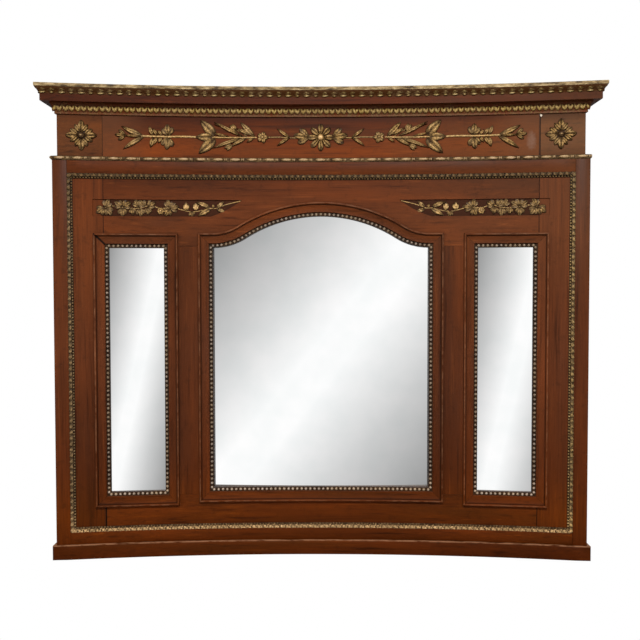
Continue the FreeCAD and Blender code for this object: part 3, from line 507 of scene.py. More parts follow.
def straight_stations(corner_a, corner_b, joint_a=JOINT, joint_b=JOINT):
    """Mitred run from one corner of an opening to the next; corners are x, z, out_x, out_z. Next to
    each corner lies a station that ends the joint's dirt, joint_a and joint_b away."""
    (xa, za, oxa, oza), (xb, zb, oxb, ozb) = corner_a, corner_b
    if za == zb:
        near = [(xa + joint_a, za, oxa, oza), (xb - joint_b, zb, oxb, ozb)]
        middle = [(x, za, 0, oza) for x in spaced(xa, xb, 50 * MM)[1:-1]]
    else:
        near = [(xa, za + joint_a, oxa, oza), (xb, zb - joint_b, oxb, ozb)]
        middle = [(xa, z, oxa, 0) for z in spaced(za, zb, 120 * MM)[1:-1]]
    return [corner_a, near[0]] + middle + [near[1], corner_b]


def arch_stations(half, shoulder, rise, reverse):
    """Sight edge of the arched head: reverse curve, main arc, reverse curve."""
    angle = 2 * math.atan(rise / half)
    radius = half / math.sin(angle) - reverse
    steps, crown_steps = 10, 36
    right = []
    for turn in (angle * k / steps for k in range(steps)):
        right.append((half - reverse * math.sin(turn), shoulder + reverse - reverse * math.cos(turn),
                      math.sin(turn), math.cos(turn)))
    crown_z = shoulder + rise - radius
    crown = []
    for turn in (angle * (1 - 2 * k / crown_steps) for k in range(crown_steps + 1)):
        crown.append((radius * math.sin(turn), crown_z + radius * math.cos(turn),
                      math.sin(turn), math.cos(turn)))
    left = [(-x, z, -out_x, out_z) for x, z, out_x, out_z in reversed(right)]
    return right + crown + left


def openings():
    """Sight opening of each mirror: left, right, bottom and top."""
    found = {}
    for name in ("left", "centre", "right"):
        low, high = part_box(name + "_frame_left")
        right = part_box(name + "_frame_right")[1].x
        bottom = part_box(name + "_frame_bottom")[0].z
        found[name] = [low.x + FRAME_WIDTH, right - FRAME_WIDTH, bottom + FRAME_WIDTH, high.z - FRAME_WIDTH]
    return found


SIGHTS = openings()
ARCH_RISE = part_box("centre_frame_top")[1].z - FRAME_WIDTH - SIGHTS["centre"][3]


def member_stations(name, side):
    """Stations of one member of a mirror's frame, from corner to corner."""
    left, right, bottom, top = SIGHTS[name]
    joint = OPEN_JOINT if name == "left" else JOINT
    low_left, low_right = (left, bottom, -1, -1), (right, bottom, 1, -1)
    high_left, high_right = (left, top, -1, 1), (right, top, 1, 1)
    if side == "bottom":
        return straight_stations(low_left, low_right)
    if side == "left":
        return straight_stations(low_left, high_left, joint_b=joint)
    if side == "right":
        return straight_stations(low_right, high_right)
    if name == "centre":
        arch = arch_stations(right, top, ARCH_RISE, SHOULDER_RADIUS)
        return [high_right, (right, top, 0.98, 1)] + arch + [(left, top, -0.98, 1), high_left]
    return straight_stations(high_left, high_right, joint_a=joint)


def evenly_along(path, pitch):
    """Points along a path, about a pitch apart and half of that from its ends."""
    lengths = [0.0]
    for first, second in zip(path, path[1:]):
        lengths.append(lengths[-1] + math.dist(first, second))
    count = round(lengths[-1] / pitch)
    points = []
    for k in range(count):
        at = (k + 0.5) * lengths[-1] / count
        index = max(i for i in range(len(lengths) - 1) if lengths[i] <= at)
        share = (at - lengths[index]) / (lengths[index + 1] - lengths[index])
        points.append([a + share * (b - a) for a, b in zip(path[index], path[index + 1])])
    return points


# ---- carved forms -----------------------------------------------------------------------------
def append(bm, part):
    """Adds a part to a growing mesh."""
    mesh = bpy.data.meshes.new("part")
    part.to_mesh(mesh)
    part.free()
    bm.from_mesh(mesh)
    bpy.data.meshes.remove(mesh)


LEAF_ENDS = 0.35                   # height of a leaf's ends, as a share of its middle
VEIN_WIDTH = 0.3                   # as a share of half the leaf
LOBE_SWELL, LOBE_RISE = 0.16, 0.18


def leaf(bm, x, z, direction, length, width, height, ground, curl=0.0, lobes=0, rings=10, around=12,
         blunt=1.0, vein=0.4, top=1.0, full=0.8):
    """Closed carved leaf on a ground: its outline swells and narrows, its middle vein is cut in and
    its edge may be lobed. Direction in degrees, curl is how far the tip bends sideways."""
    part = bmesh.new()
    layer = float_layer(part, "relief")
    made = bmesh.ops.create_uvsphere(part, u_segments=around, v_segments=rings, radius=1.0)
    cos_d, sin_d = math.cos(math.radians(direction)), math.sin(math.radians(direction))
    for vert in made["verts"]:
        along = min(1.0, max(-1.0, vert.co.z))
        ring = math.sqrt(max(0.0, 1 - along * along))
        share = (along + 1) / 2
        across = vert.co.x / ring if ring > 1e-6 else 0.0
        front = -vert.co.y / ring if ring > 1e-6 else 0.0
        swell = math.sin(math.pi * share ** (0.75 * blunt)) ** full if 0 < share < 1 else 0.0
        if lobes:
            swell *= 1 + LOBE_SWELL * math.cos(2 * math.pi * lobes * share)
        rise = (LEAF_ENDS + (1 - LEAF_ENDS) * math.sin(math.pi * share)) * max(front, 0.0)
        rise *= 1 - vein * math.exp(-(across / VEIN_WIDTH) ** 2)
        if lobes:
            rise *= 1 + LOBE_RISE * math.cos(2 * math.pi * lobes * share + 3 * abs(across))
        u = share * length
        v = across * swell * width / 2 + curl * share * share
        vert.co = Vector((x + u * cos_d - v * sin_d, -ground - height * rise, z + u * sin_d + v * cos_d))
        vert[layer] = top * rise ** 1.5
    append(bm, part)


def lobed(bm, x, z, direction, length, width, height, ground, rings=8, around=10):
    """Leaf of three rounded lobes that share a base, the middle one longest and highest."""
    for side in (-1, 1):
        leaf(bm, x, z, direction + 34 * side, 0.82 * length, 0.6 * width, 0.75 * height, ground,
             rings=rings, around=around, blunt=2.0, top=0.8, full=0.6)
    leaf(bm, x, z, direction, length, 0.6 * width, height, ground, rings=rings, around=around, blunt=1.9,
         vein=0.5, full=0.65)


def knob(bm, x, z, radius, height, ground, around=12, rings=6, low=0.3, top=1.0, power=1.5):
    """Closed dome on a ground."""
    part = bmesh.new()
    layer = float_layer(part, "relief")
    made = bmesh.ops.create_uvsphere(part, u_segments=around, v_segments=rings, radius=1.0)
    for vert in made["verts"]:
        front = max(0.0, -vert.co.y)
        vert[layer] = max(low, top * front ** power)
        vert.co = Vector((x + radius * vert.co.x, -ground - height * front, z + radius * vert.co.z))
    append(bm, part)


def mm(*values):
    return tuple(value * MM for value in values)


def leaves(bm, rows, height, ground, lift=0.0, shape=leaf, **options):
    """Leaves from rows of place, direction, length and width, and how far the tip bends if it does,
    in millimetres and degrees."""
    for x, z, direction, length, width, *bend in rows:
        if bend:
            options["curl"] = bend[0] * MM
        shape(bm, x * MM, lift + z * MM, direction, *mm(length, width), height, ground, **options)


def rod(bm, points, radius, ground):
    """Round stem on a ground through points of x and z."""
    stations = []
    for index, (x, z) in enumerate(points):
        before = points[max(0, index - 1)]
        after = points[min(len(points) - 1, index + 1)]
        run_x, run_z = after[0] - before[0], after[1] - before[1]
        length = math.hypot(run_x, run_z)
        stations.append((x, z, -run_z / length, run_x / length))
    profile = arc((0, 0), radius, 0, 180, 6)
    sweep(bm, profile, stations,
          lambda s, a, b: Vector((s[0] + a * s[2], -ground - 0.9 * b, s[1] + a * s[3])))


def smooth_path(points, per=5):
    """Points of a smooth curve through the given ones."""
    path = []
    for k in range(len(points) - 1):
        p0 = points[max(0, k - 1)]
        p1, p2 = points[k], points[k + 1]
        p3 = points[min(len(points) - 1, k + 2)]
        for step in range(per):
            t = step / per
            path.append(tuple(0.5 * (2 * b + (c - a) * t + (2 * a - 5 * b + 4 * c - d) * t * t
                                     + (3 * b - a - 3 * c + d) * t ** 3)
                              for a, b, c, d in zip(p0, p1, p2, p3)))
    return path + [points[-1]]


def stems(bm, runs, height, ground, lift=0.0):
    """Stems from runs of points and a radius, in millimetres, and their relief up to a height."""
    start = len(bm.verts)
    for points, radius in runs:
        rod(bm, smooth_path([(x * MM, lift + z * MM) for x, z in points]), radius * MM, ground)
    set_relief(bm, lambda co: 0.2 + 0.5 * max(0.0, min(1.0, (-co.y - ground) / height)), start)


def mirrored_mesh(bm):
    """Turns a right-hand piece into a left-hand one."""
    for vert in bm.verts:
        vert.co.x = -vert.co.x
    bmesh.ops.reverse_faces(bm, faces=bm.faces[:])


# ---- boards -----------------------------------------------------------------------------------
def board(bm, x_low, x_high, z_low, z_high, front, back, edge, step=45 * MM):
    """Bent board drawn flat, its front edges eased by a small bevel."""
    made = bmesh.ops.create_cube(bm, size=1.0)
    size = Vector((x_high - x_low, front - back, z_high - z_low))
    middle = Vector(((x_low + x_high) / 2, -(front + back) / 2, (z_low + z_high) / 2))
    for vert in made["verts"]:
        vert.co = Vector(a * b for a, b in zip(vert.co, size)) + middle
    faces = list({face for vert in made["verts"] for face in vert.link_faces})
    rim = [e for face in faces if face.calc_center_median().y < -front + 0.1 * MM for e in face.edges]
    bmesh.ops.bevel(bm, geom=rim, offset=edge, offset_type="OFFSET", segments=2, profile=0.5,
                    affect="EDGES", material=-1)
    for x in spaced(x_low, x_high, step)[1:-1]:
        bmesh.ops.bisect_plane(bm, geom=bm.verts[:] + bm.edges[:] + bm.faces[:], plane_co=(x, 0, 0),
                               plane_no=(1, 0, 0))


class Piece:
    """Operator that makes one group of pieces"""
    def execute(self, context):
        self.make()
        return {"FINISHED"}


class MIRROR_OT_base(Piece, bpy.types.Operator):
    """Base rail with eased, worn edges and its returns"""
    bl_idname = "mirror.base"
    bl_label = "Base"

    def make(self):
        low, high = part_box("base_rail")
        bm = bmesh.new()
        board(bm, low.x, high.x, low.z, high.z, BASE_PROUD, BASE_PROUD - BASE_THICKNESS, BASE_EASED)
        inner = BASE_PROUD - BASE_CORNER
        for vert in bm.verts:
            past = abs(vert.co.x) - (high.x - BASE_CORNER)
            if past > 0 and -vert.co.y > inner:
                round_share = math.sqrt(max(0, BASE_CORNER ** 2 - past ** 2)) / BASE_CORNER
                vert.co.y = -inner - round_share * (-vert.co.y - inner)
        wood = walnut("walnut_base", LONG, offset=6.3)
        recoloured(wood, self.worn_edge)
        finish_piece("base_front", bm, wood, ["base_rail"])
        paint_nodes(["base_returns"], "walnut_deep")

    def worn_edge(self, tree, place, old):
        """Upper edge rubbed pale."""
        rub = noise(tree, place, 14 * MM, 4.0, 0.7, (3, 1, 1))
        near = between(tree, split(tree, place)["Z"], BASE_TOP - 2.4 * MM, BASE_TOP - 0.6 * MM)
        worn = maths(tree, "MULTIPLY", near, between(tree, rub, 0.36, 0.52))
        return mixed(tree, worn, old, linear("#94684a"))


class MIRROR_OT_border(Piece, bpy.types.Operator):
    """Outer border of stiles and rails round the sunk field, and the side boards of the box"""
    bl_idname = "mirror.border"
    bl_label = "Border"

    def make(self):
        for kind, key in (("rail_bottom", "walnut_long"), ("rail_top", "walnut_long"),
                          ("stile_left", "walnut_upright"), ("stile_right", "walnut_upright")):
            name = "border_" + kind
            low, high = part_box(name)
            bm = bmesh.new()
            board(bm, low.x + SEAM, high.x - SEAM, low.z, high.z, 0.0, -BORDER_THICKNESS, EASED)
            finish_piece(name + "_eased", bm, key, [name])
        paint_nodes(["side_board_left", "side_board_right"], "walnut_upright")


class MIRROR_OT_field(Piece, bpy.types.Operator):
    """Field frame of stiles, rails and muntins, with its joint lines darkened"""
    bl_idname = "mirror.field"
    bl_label = "Field"

    def make(self):
        fine, wide = 1.3 * MM, 3.2 * MM
        marks = [(-STILE_JOINT, fine, 0.5, BODY_TOP), (STILE_JOINT, fine, 0.0, BODY_TOP),
                 (-STILE_JOINT, wide, 0.0, 0.5)]
        # The rails get painted shade on their ground behind the field.
        rails = walnut("walnut_field_rails", LONG, marks, 2.4, sunk=True)
        stiles = walnut("walnut_field_stiles", UPRIGHT, marks, 4.4)
        paint_nodes(["field_rail_top", "field_rail_bottom"], rails)
        paint_nodes(["field_stile_left", "field_stile_right"], stiles)
        paint_nodes(["muntin_left", "muntin_right"], "walnut_upright")


class MIRROR_OT_gilt_moulding(Piece, bpy.types.Operator):
    """Carved and gilt moulding of two rows inside the border"""
    bl_idname = "mirror.gilt_moulding"
    bl_label = "Gilt moulding"

    def make(self):
        half, low, high = BORDER_INNER, FIELD_LOW, FIELD_HIGH
        low_left, low_right = (-half, low, 1, 1), (half, low, -1, 1)
        high_left, high_right = (-half, high, 1, -1), (half, high, -1, -1)
        for name, start, end in (("bottom", low_left, low_right), ("top", high_left, high_right),
                                 ("left", low_left, high_left), ("right", low_right, high_right)):
            bm = bmesh.new()
            self.run(bm, start, end, name in ("bottom", "top"), name == "bottom")
            key = "right_gilding" if name == "right" else "border_gilding"
            finish_piece("carved_gilt_" + name, bm, key, ["gilt_moulding_" + name])

    def run(self, bm, start, end, level, solid):
        """One side between two corners: a row of leaning leaves outside and one of beads inside. On a
        solid run more gold is left on the ground and less on the beads."""
        pitch = settings().gilt_pitch
        crest = FIELD + GILT_HEIGHT - 4.0 * MM
        sweep(bm, [(0, FIELD), (0, crest), (0.62 * GILT_WIDTH, crest), (0.7 * GILT_WIDTH, FIELD + 2.5 * MM),
                   (GILT_WIDTH, FIELD + 1.5 * MM), (GILT_WIDTH, FIELD)],
              straight_stations(start, end), opening_place)
        ground = 0.62 if solid else 0.38
        set_relief(bm, lambda co: ground if -co.y > crest - 0.5 * MM else 0.1)
        along, across = (0, 1) if level else (1, 0)
        inward = start[2 + across]

        def place(at, out):
            point = [at, start[across] + out * inward]
            return point if level else reversed(point)

        tilt, back, off_row = 22.8 * inward, 8 * MM, 3.2 * MM
        for at in spaced(start[along] + GILT_WIDTH / 2, end[along] - GILT_WIDTH / 2, pitch):
            leaf(bm, *place(at - back, 0.31 * GILT_WIDTH - off_row), tilt if level else 90 - tilt,
                 *mm(19, 12, 4.0), crest - 0.4 * MM, rings=6, around=8, blunt=0.8, vein=0.25)
            for share in (-0.25, 0.25):
                knob(bm, *place(at + share * pitch, 0.82 * GILT_WIDTH), 3.4 * MM, 3.6 * MM,
                     FIELD + 1.4 * MM, 8, 4, 0.2, 0.42 if solid else 0.8)


def frame_profile():
    """Bolection moulding: round bead outside, quirk, sloping hollow face, edge over the slip."""
    top = FIELD + FRAME_HEIGHT - FRAME_BEAD
    outer = arc((FRAME_WIDTH - FRAME_BEAD, top), FRAME_BEAD, 0, 180, 8)
    nose_radius = 1.2 * MM
    inner = SLIP_WIDTH + nose_radius
    slope = [(FRAME_QUIRK + (inner - FRAME_QUIRK) * share,
              top - 2.6 * MM - 2.6 * MM * share - 1.1 * MM * math.sin(math.pi * share))
             for share in (k / 6 for k in range(7))]
    nose = arc((inner, FIELD - nose_radius), nose_radius, 90, 180, 3)
    deep, lip = FIELD - 6 * MM, SLIP_WIDTH + 2.5 * MM
    return ([(FRAME_WIDTH, FIELD)] + outer + [(FRAME_QUIRK, top - 2.0 * MM)] + slope + nose
            + [(SLIP_WIDTH, deep), (lip, deep), (lip, FIELD)])


class MIRROR_OT_frames(Piece, bpy.types.Operator):
    """Mitred bolection mouldings round the three mirrors"""
    bl_idname = "mirror.frames"
    bl_label = "Mirror frames"

    def make(self):
        profile = frame_profile()
        crest = max(proud for out, proud in profile)
        levels = []
        for out, proud in profile:
            # Crest and edge over the slip are rubbed pale, which is wear and a painted highlight; the quirk
            # and the outer foot get dirt and painted shade.
            rubbed = proud > crest - 0.4 * MM or abs(out - SLIP_WIDTH) < 0.5 * MM and proud > FIELD - 2 * MM
            crease_shade = abs(out - FRAME_QUIRK) < 1.0 * MM or out > FRAME_WIDTH - 0.1 * MM
            levels.append(RUBBED_AND_LIT if rubbed else SOILED_AND_SHADED if crease_shade else 0.0)
        for name in SIGHTS:
            for side in SIDES:
                bm = bmesh.new()
                sweep(bm, profile, member_stations(name, side), opening_place, levels, 1)
                key = "walnut_upright" if side in ("left", "right") else "walnut_long"
                finish_piece(f"{name}_moulding_{side}", bm, key, [f"{name}_frame_{side}"])


def plate_plane(name):
    """Angle that a mirror's plate is turned by in plan, and its plane carried forward to the body
    face, as a function of x."""
    centre = (SIGHTS[name][0] + SIGHTS[name][1]) / 2
    turn = math.asin(centre / FACE_RADIUS)
    front = on_face(Vector((centre, 0, 0))).y
    return turn, lambda x: front - (x - centre) * math.tan(turn)


class MIRROR_OT_pearls(Piece, bpy.types.Operator):
    """Strings of carved pearls on slips next to the plates"""
    bl_idname = "mirror.pearls"
    bl_label = "Pearled slips"

    def make(self):
        radius = settings().pearl_diameter / 2
        ground, deep = FIELD - SLIP_DROP, FIELD - SLIP_DEPTH
        profile = [(SLIP_LIP, deep), (SLIP_LIP, ground), (SLIP_WIDTH, ground), (SLIP_WIDTH, deep)]
        for name in SIGHTS:
            bm = bmesh.new()
            for side in SIDES:
                sweep(bm, profile, member_stations(name, side), opening_place)
            set_relief(bm, 0.0)
            for side in SIDES:
                path = [(x + SLIP_WIDTH / 2 * out_x, z + SLIP_WIDTH / 2 * out_z)
                        for x, z, out_x, out_z in member_stations(name, side)]
                for x, z in evenly_along(path, settings().pearl_pitch):
                    knob(bm, x, z, 1.06 * radius, 1.05 * radius, ground, 10, 6, 0.0, 0.9, 0.8)
            plane = plate_plane(name)[1]
            for vert in bm.verts:
                vert.co = on_face(vert.co)
                vert.co.y = min(vert.co.y, plane(vert.co.x) + PLATE_SETBACK)
            finish_piece(name + "_pearls", bm, "pearl_bronze", [name + "_pearl_slips"],
                         bent=False)


class MIRROR_OT_plates(Piece, bpy.types.Operator):
    """Silvered plates, their backing boards and glazing fillets"""
    bl_idname = "mirror.plates"
    bl_label = "Plates"

    def make(self):
        paint_nodes([name + "_glass" for name in SIGHTS], "plate")
        paint_nodes([name + "_backing" for name in SIGHTS] + ["glazing_fillets"], "pine_upright")


class MIRROR_OT_garlands(Piece, bpy.types.Operator):
    """Trailing garlands of lobed leaves, buds and a flower in the sunk panels"""
    bl_idname = "mirror.garlands"
    bl_label = "Garlands"

    def make(self):
        ground, high, stem = PANEL_GROUND + 0.2 * MM, 7.5 * MM, 1.7
        # Place, direction, length and width in millimetres and degrees, on the right-hand panel.
        clusters = [(653, 1066, -32, 30, 25), (650, 1067, 112, 28, 25), (648, 1066, 234, 28, 25),
                    (602, 1068, 38, 28, 24), (600, 1069, 150, 30, 25), (601, 1067, 268, 28, 25),
                    (572, 1066, 262, 22, 20), (553, 1068, 68, 28, 21), (549, 1066, 262, 28, 22),
                    (534, 1070, 52, 26, 21), (526, 1070, 148, 28, 22), (527, 1069, 262, 24, 21),
                    (462, 1067, 82, 27, 23), (460, 1066, 170, 30, 23), (461, 1066, -62, 28, 22),
                    (396, 1058, 255, 20, 15)]
        # The same, with how far the tip bends.
        long_leaves = [(338, 1069, 24, 46, 15, -2.25), (336, 1065, -26, 46, 17, -2.55),
                       (318, 1068, 142, 30, 14, -2.1), (318, 1064, 200, 30, 13, -1.95),
                       (328, 1066, 88, 14, 9, -1.35)]
        buds = [(410, 1058, 88, 27, 15), (409, 1058, 62, 22, 12), (411, 1058, 116, 22, 12),
                (382, 1058, 92, 26, 15), (380, 1058, 66, 22, 12), (383, 1058, 118, 22, 12)]
        flower = [(487, 1058, turn, 13, 11) for turn in range(0, 360, 60)]
        path = [(652, 1067), (630, 1072), (600, 1068), (570, 1065), (548, 1066), (518, 1074), (487, 1066),
                (450, 1068), (425, 1062), (398, 1056), (372, 1058), (342, 1066), (318, 1067), (290, 1078),
                (246, 1089)]
        for name in ("right", "left"):
            bm = bmesh.new()
            leaves(bm, clusters, high, ground, shape=lobed)
            leaves(bm, long_leaves, high * 0.9, ground, lobes=4)
            leaves(bm, buds, high, ground, blunt=1.4, vein=0.2)
            leaves(bm, flower, high * 0.8, ground, blunt=1.3)
            knob(bm, *mm(487, 1058, 4), high, ground, low=0.1)
            stems(bm, [(path, stem)], stem * MM, ground)
            if name == "left":
                mirrored_mesh(bm)
            finish_piece("carved_garland_" + name, bm, "gilding", ["garland_" + name])


class MIRROR_OT_frieze(Piece, bpy.types.Operator):
    """Frieze boards, flower, sprays and rosettes"""
    bl_idname = "mirror.frieze"
    bl_label = "Frieze"

    def make(self):
        marks = [(-JOINT_X, 1.2 * MM, 0, TOP), (JOINT_X, 3.6 * MM, 0, TOP)]
        wood = walnut("walnut_frieze", LONG, marks, 12.6, shade=(1.25, 1.15, 0.9))
        recoloured(wood, self.panel_shade_and_marks)
        blocks = walnut("walnut_frieze_blocks", LONG, marks, 14.2, shade=(1.4, 1.75, 1.9))
        recoloured(blocks, self.block_shade_and_chip)
        paint_nodes(["frieze_panel"], wood)
        paint_nodes(["frieze_block_left", "frieze_block_right"], blocks)
        middle = (NECKING_TOP + BED_LOW) / 2
        ground, high = FRIEZE + 0.35 * MM, 9 * MM
        bm = bmesh.new()
        leaves(bm, [(0, 0, 45 * k + 90, 42, 19) for k in range(8)], high, ground, middle, blunt=2.4,
               vein=0.55, full=0.6)
        knob(bm, 0, middle, 12 * MM, 12 * MM, ground, low=0.2)
        for turn in (math.radians(51.4 * k) for k in range(7)):
            knob(bm, 7 * MM * math.cos(turn), middle + 7 * MM * math.sin(turn), 2.6 * MM, 12.5 * MM, ground,
                 8, 4)
        finish_piece("carved_flower", bm, "gilding", ["frieze_flower"])
        for name in ("right", "left"):
            for kind, carve in (("rosette", self.rosette), ("spray", self.spray)):
                bm = bmesh.new()
                carve(bm, middle, ground, high)
                if name == "left":
                    mirrored_mesh(bm)
                finish_piece(f"carved_{kind}_{name}", bm, "gilding", [f"{kind}_{name}"])

    def spot(self, tree, place, colour, x, z, wide, tall, strength, shade):
        """Oval spot of another colour, with a soft uneven edge."""
        parts = split(tree, place)
        across = maths(tree, "DIVIDE", maths(tree, "SUBTRACT", parts["X"], x), wide)
        up = maths(tree, "DIVIDE", maths(tree, "SUBTRACT", parts["Z"], z), tall)
        far = maths(tree, "ADD", maths(tree, "MULTIPLY", across, across), maths(tree, "MULTIPLY", up, up))
        grain = noise(tree, place, 7 * MM, 4.0, 0.6)
        uneven = maths(tree, "ADD", far, maths(tree, "MULTIPLY", grain, 2.0))
        return mixed(tree, between(tree, uneven, 0.9, 2.2, strength, 0.0), colour, linear(shade))

    def shaded(self, tree, place, old, stops):
        """Colour multiplied by a ramp from the frieze's bottom to its top."""
        height = between(tree, split(tree, place)["Z"], NECKING_TOP, BED_LOW)
        return mixed(tree, 1.0, old, ramp(tree, height, stops), "MULTIPLY")

    def panel_shade_and_marks(self, tree, place, old):
        """Painted shade under the cornice, the colour growing lighter and more orange lower down, dull ends
        and a grey rubbed spot by the right joint.
        """
        colour = self.shaded(tree, place, old, [(0.15, (1.2, 1.15, 0.8)), (0.45, (1.02, 0.96, 0.62)),
                                                (0.8, (0.76, 0.68, 0.36)), (0.97, (0.42, 0.35, 0.18))])
        off_middle = maths(tree, "ABSOLUTE", split(tree, place)["X"])
        end = between(tree, off_middle, JOINT_X - 150 * MM, JOINT_X - 40 * MM, 0.0, 0.45)
        colour = mixed(tree, end, colour, linear("#5f3a22"))
        return self.spot(tree, place, colour, JOINT_X - 24 * MM, NECKING_TOP + 44 * MM, 15 * MM, 30 * MM, 0.6,
                         "#75594a")

    def block_shade_and_chip(self, tree, place, old):
        """Painted shade under the cornice, a little darker at the foot too, and a pale chip at the top of the
        right joint.
        """
        colour = self.shaded(tree, place, old, [(0.0, 0.72), (0.25, 0.95), (0.75, 0.9), (0.98, 0.5)])
        return self.spot(tree, place, colour, JOINT_X + 3 * MM, BED_LOW - 5 * MM, 4 * MM, 4 * MM, 1.0,
                         "#d8cab6")

    def rosette(self, bm, z, ground, high):
        """Diamond of four fans of three broad lobes, on a flat disk that paints shade in the hollows between
        them, round a dark boss.
        """
        x = (JOINT_X + FRIEZE_SIDE) / 2 - 5 * MM
        # Flat disk under the fans, all at the darkest tone: painted shade in the hollows between the lobes.
        knob(bm, x, z, 25 * MM, 0.9 * MM, ground, 16, 4, 0.0, 0.0)
        for turn in range(0, 360, 90):
            way = math.radians(turn)
            foot = x + 9 * MM * math.cos(way), z + 9 * MM * math.sin(way)
            for side in (-1, 1):
                leaf(bm, *foot, turn + 47 * side, *mm(30, 15), 0.85 * high, ground, curl=-4 * side * MM,
                     blunt=1.7, vein=0.5, full=0.6)
            leaf(bm, *foot, turn, *mm(37, 20), high, ground, blunt=1.5, vein=0.6, full=0.62)
        knob(bm, x, z, 10.5 * MM, high * 1.1, ground, low=0.0, top=0.25)
        knob(bm, x, z, 4 * MM, high * 1.35, ground, low=0.0)

    def spray(self, bm, z, ground, high):
        """Long spray of a five-petalled bloom, buds, a cup of three leaves and blades on thin stems."""
        # Place from the middle, height, direction, length and width, in millimetres and degrees.
        hearts = [(34, 0, 8, 50, 34), (463, 2, 84, 36, 31), (463, -2, -82, 38, 31), (588, 2, 4, 34, 20)]
        bloom = [(178, 0, 36 + 72 * k, 18, 15) for k in range(5)]
        cup = [(322, 5, 46, 64, 31), (322, -5, -42, 68, 32), (326, 0, 0, 56, 27)]
        # The same, with how far the tip bends to the side.
        blades = [(94, 0, 28, 48, 11, 6), (94, 0, -26, 48, 11, -6), (202, 2, 42, 62, 19, 4),
                  (214, 8, 22, 46, 13, 2), (236, 3, 22, 100, 12, 7), (226, -2, -24, 56, 12, -4),
                  (240, -2, -16, 96, 13, -6), (204, -2, -26, 26, 9, -2), (280, 2, 10, 50, 8, 2),
                  (268, 26, 12, 60, 4, 1), (256, 20, 34, 28, 14, 2), (258, 20, 62, 24, 12, 0),
                  (256, 22, 4, 28, 12, 0), (268, -24, -16, 28, 14, -2), (270, -24, -44, 24, 12, 0),
                  (508, 3, 62, 30, 14, 2), (494, 3, 50, 26, 12, 2), (506, -3, -68, 32, 16, -2),
                  (494, -3, -52, 27, 12, -2), (480, 3, 44, 22, 10, 2), (480, -3, -44, 22, 10, -2),
                  (538, 2, 17, 70, 17, 8), (536, -2, -25, 72, 16, -8), (540, 0, 2, 56, 8, 0)]
        runs = [([(30, 0), (90, -1), (130, 1), (176, 0)], 2.2), ([(196, 0), (260, -1), (345, 0)], 3.0),
                ([(380, 0), (420, 1), (470, 0), (545, 1)], 3.4), ([(226, 4), (244, 16), (258, 22)], 1.7),
                ([(232, -4), (250, -16), (270, -25)], 1.7)]
        stems(bm, runs, 3 * MM, ground, z)
        leaves(bm, hearts, high, ground, z, lobed, rings=10, around=12)
        leaves(bm, bloom, high, ground, z, blunt=1.7, vein=0.4, full=0.6)
        knob(bm, 178 * MM, z, 5 * MM, high * 1.1, ground, low=0.0, power=3.0)
        leaves(bm, cup, high, ground, z, blunt=0.95, vein=0.55, full=0.7)
        leaves(bm, blades, high, ground, z, blunt=1.15)


def box_place(station, proud, z):
    """Point of a moulding that wraps the box; a station is a side and a share along it."""
    kind, share = station
    corner_x = BODY_HALF + proud
    corner = on_face(Vector((corner_x, -proud, z)))
    if kind == "front":
        return on_face(Vector((-corner_x + 2 * corner_x * share, -proud, z)))
    side = -1 if kind == "left" else 1
    return Vector((side * corner_x, corner.y + (WALL_Y - corner.y) * share, z))


def wrapped(bm, profile):
    """Front run and two returns, met at the corners."""
    stations = ([("left", 1.0), ("left", 0.5)] + [("front", k / 40) for k in range(41)]
                + [("right", 0.5), ("right", 1.0)])
    sweep(bm, profile, stations, box_place)


def along_box(pitch, proud):
    """Centres of repeats along the front and the returns: point, and angle of the run in plan."""
    x_end = BODY_HALF + proud
    places = []
    for x in spaced(-x_end + pitch / 2, x_end - pitch / 2, pitch):
        places.append((on_face(Vector((x, -proud, 0))), -math.asin(x / FACE_RADIUS)))
    corner_y = on_face(Vector((x_end, -proud, 0))).y
    for y in spaced(corner_y + pitch / 2, WALL_Y - pitch / 2, pitch):
        places.append((Vector((x_end, y, 0)), math.pi / 2))
        places.append((Vector((-x_end, y, 0)), -math.pi / 2))
    return places


def repeat(bm, unit, places, z, tilt=0.0):
    """Sets copies of a unit, drawn round the origin with -y outwards, at each place."""
    mesh = bpy.data.meshes.new("unit")
    unit.to_mesh(mesh)
    lean = Matrix.Rotation(tilt, 4, "X")
    for point, turn in places:
        count = len(bm.verts)
        bm.from_mesh(mesh)
        bm.verts.ensure_lookup_table()
        added = bm.verts[count:]
        move = Matrix.Translation((point.x, point.y, z)) @ Matrix.Rotation(turn, 4, "Z") @ lean
        bmesh.ops.transform(bm, matrix=move, verts=added)
    bpy.data.meshes.remove(mesh)
    unit.free()


def carved_run(name, replaced, key, profile, level, unit, pitch, proud, z, tilt=0.0):
    """Moulding that wraps the box, with a carved unit repeated along it."""
    bm = bmesh.new()
    wrapped(bm, profile)
    set_relief(bm, level)
    repeat(bm, unit, along_box(pitch, proud), z, tilt)
    finish_piece(name, bm, key, [replaced], bent=False)


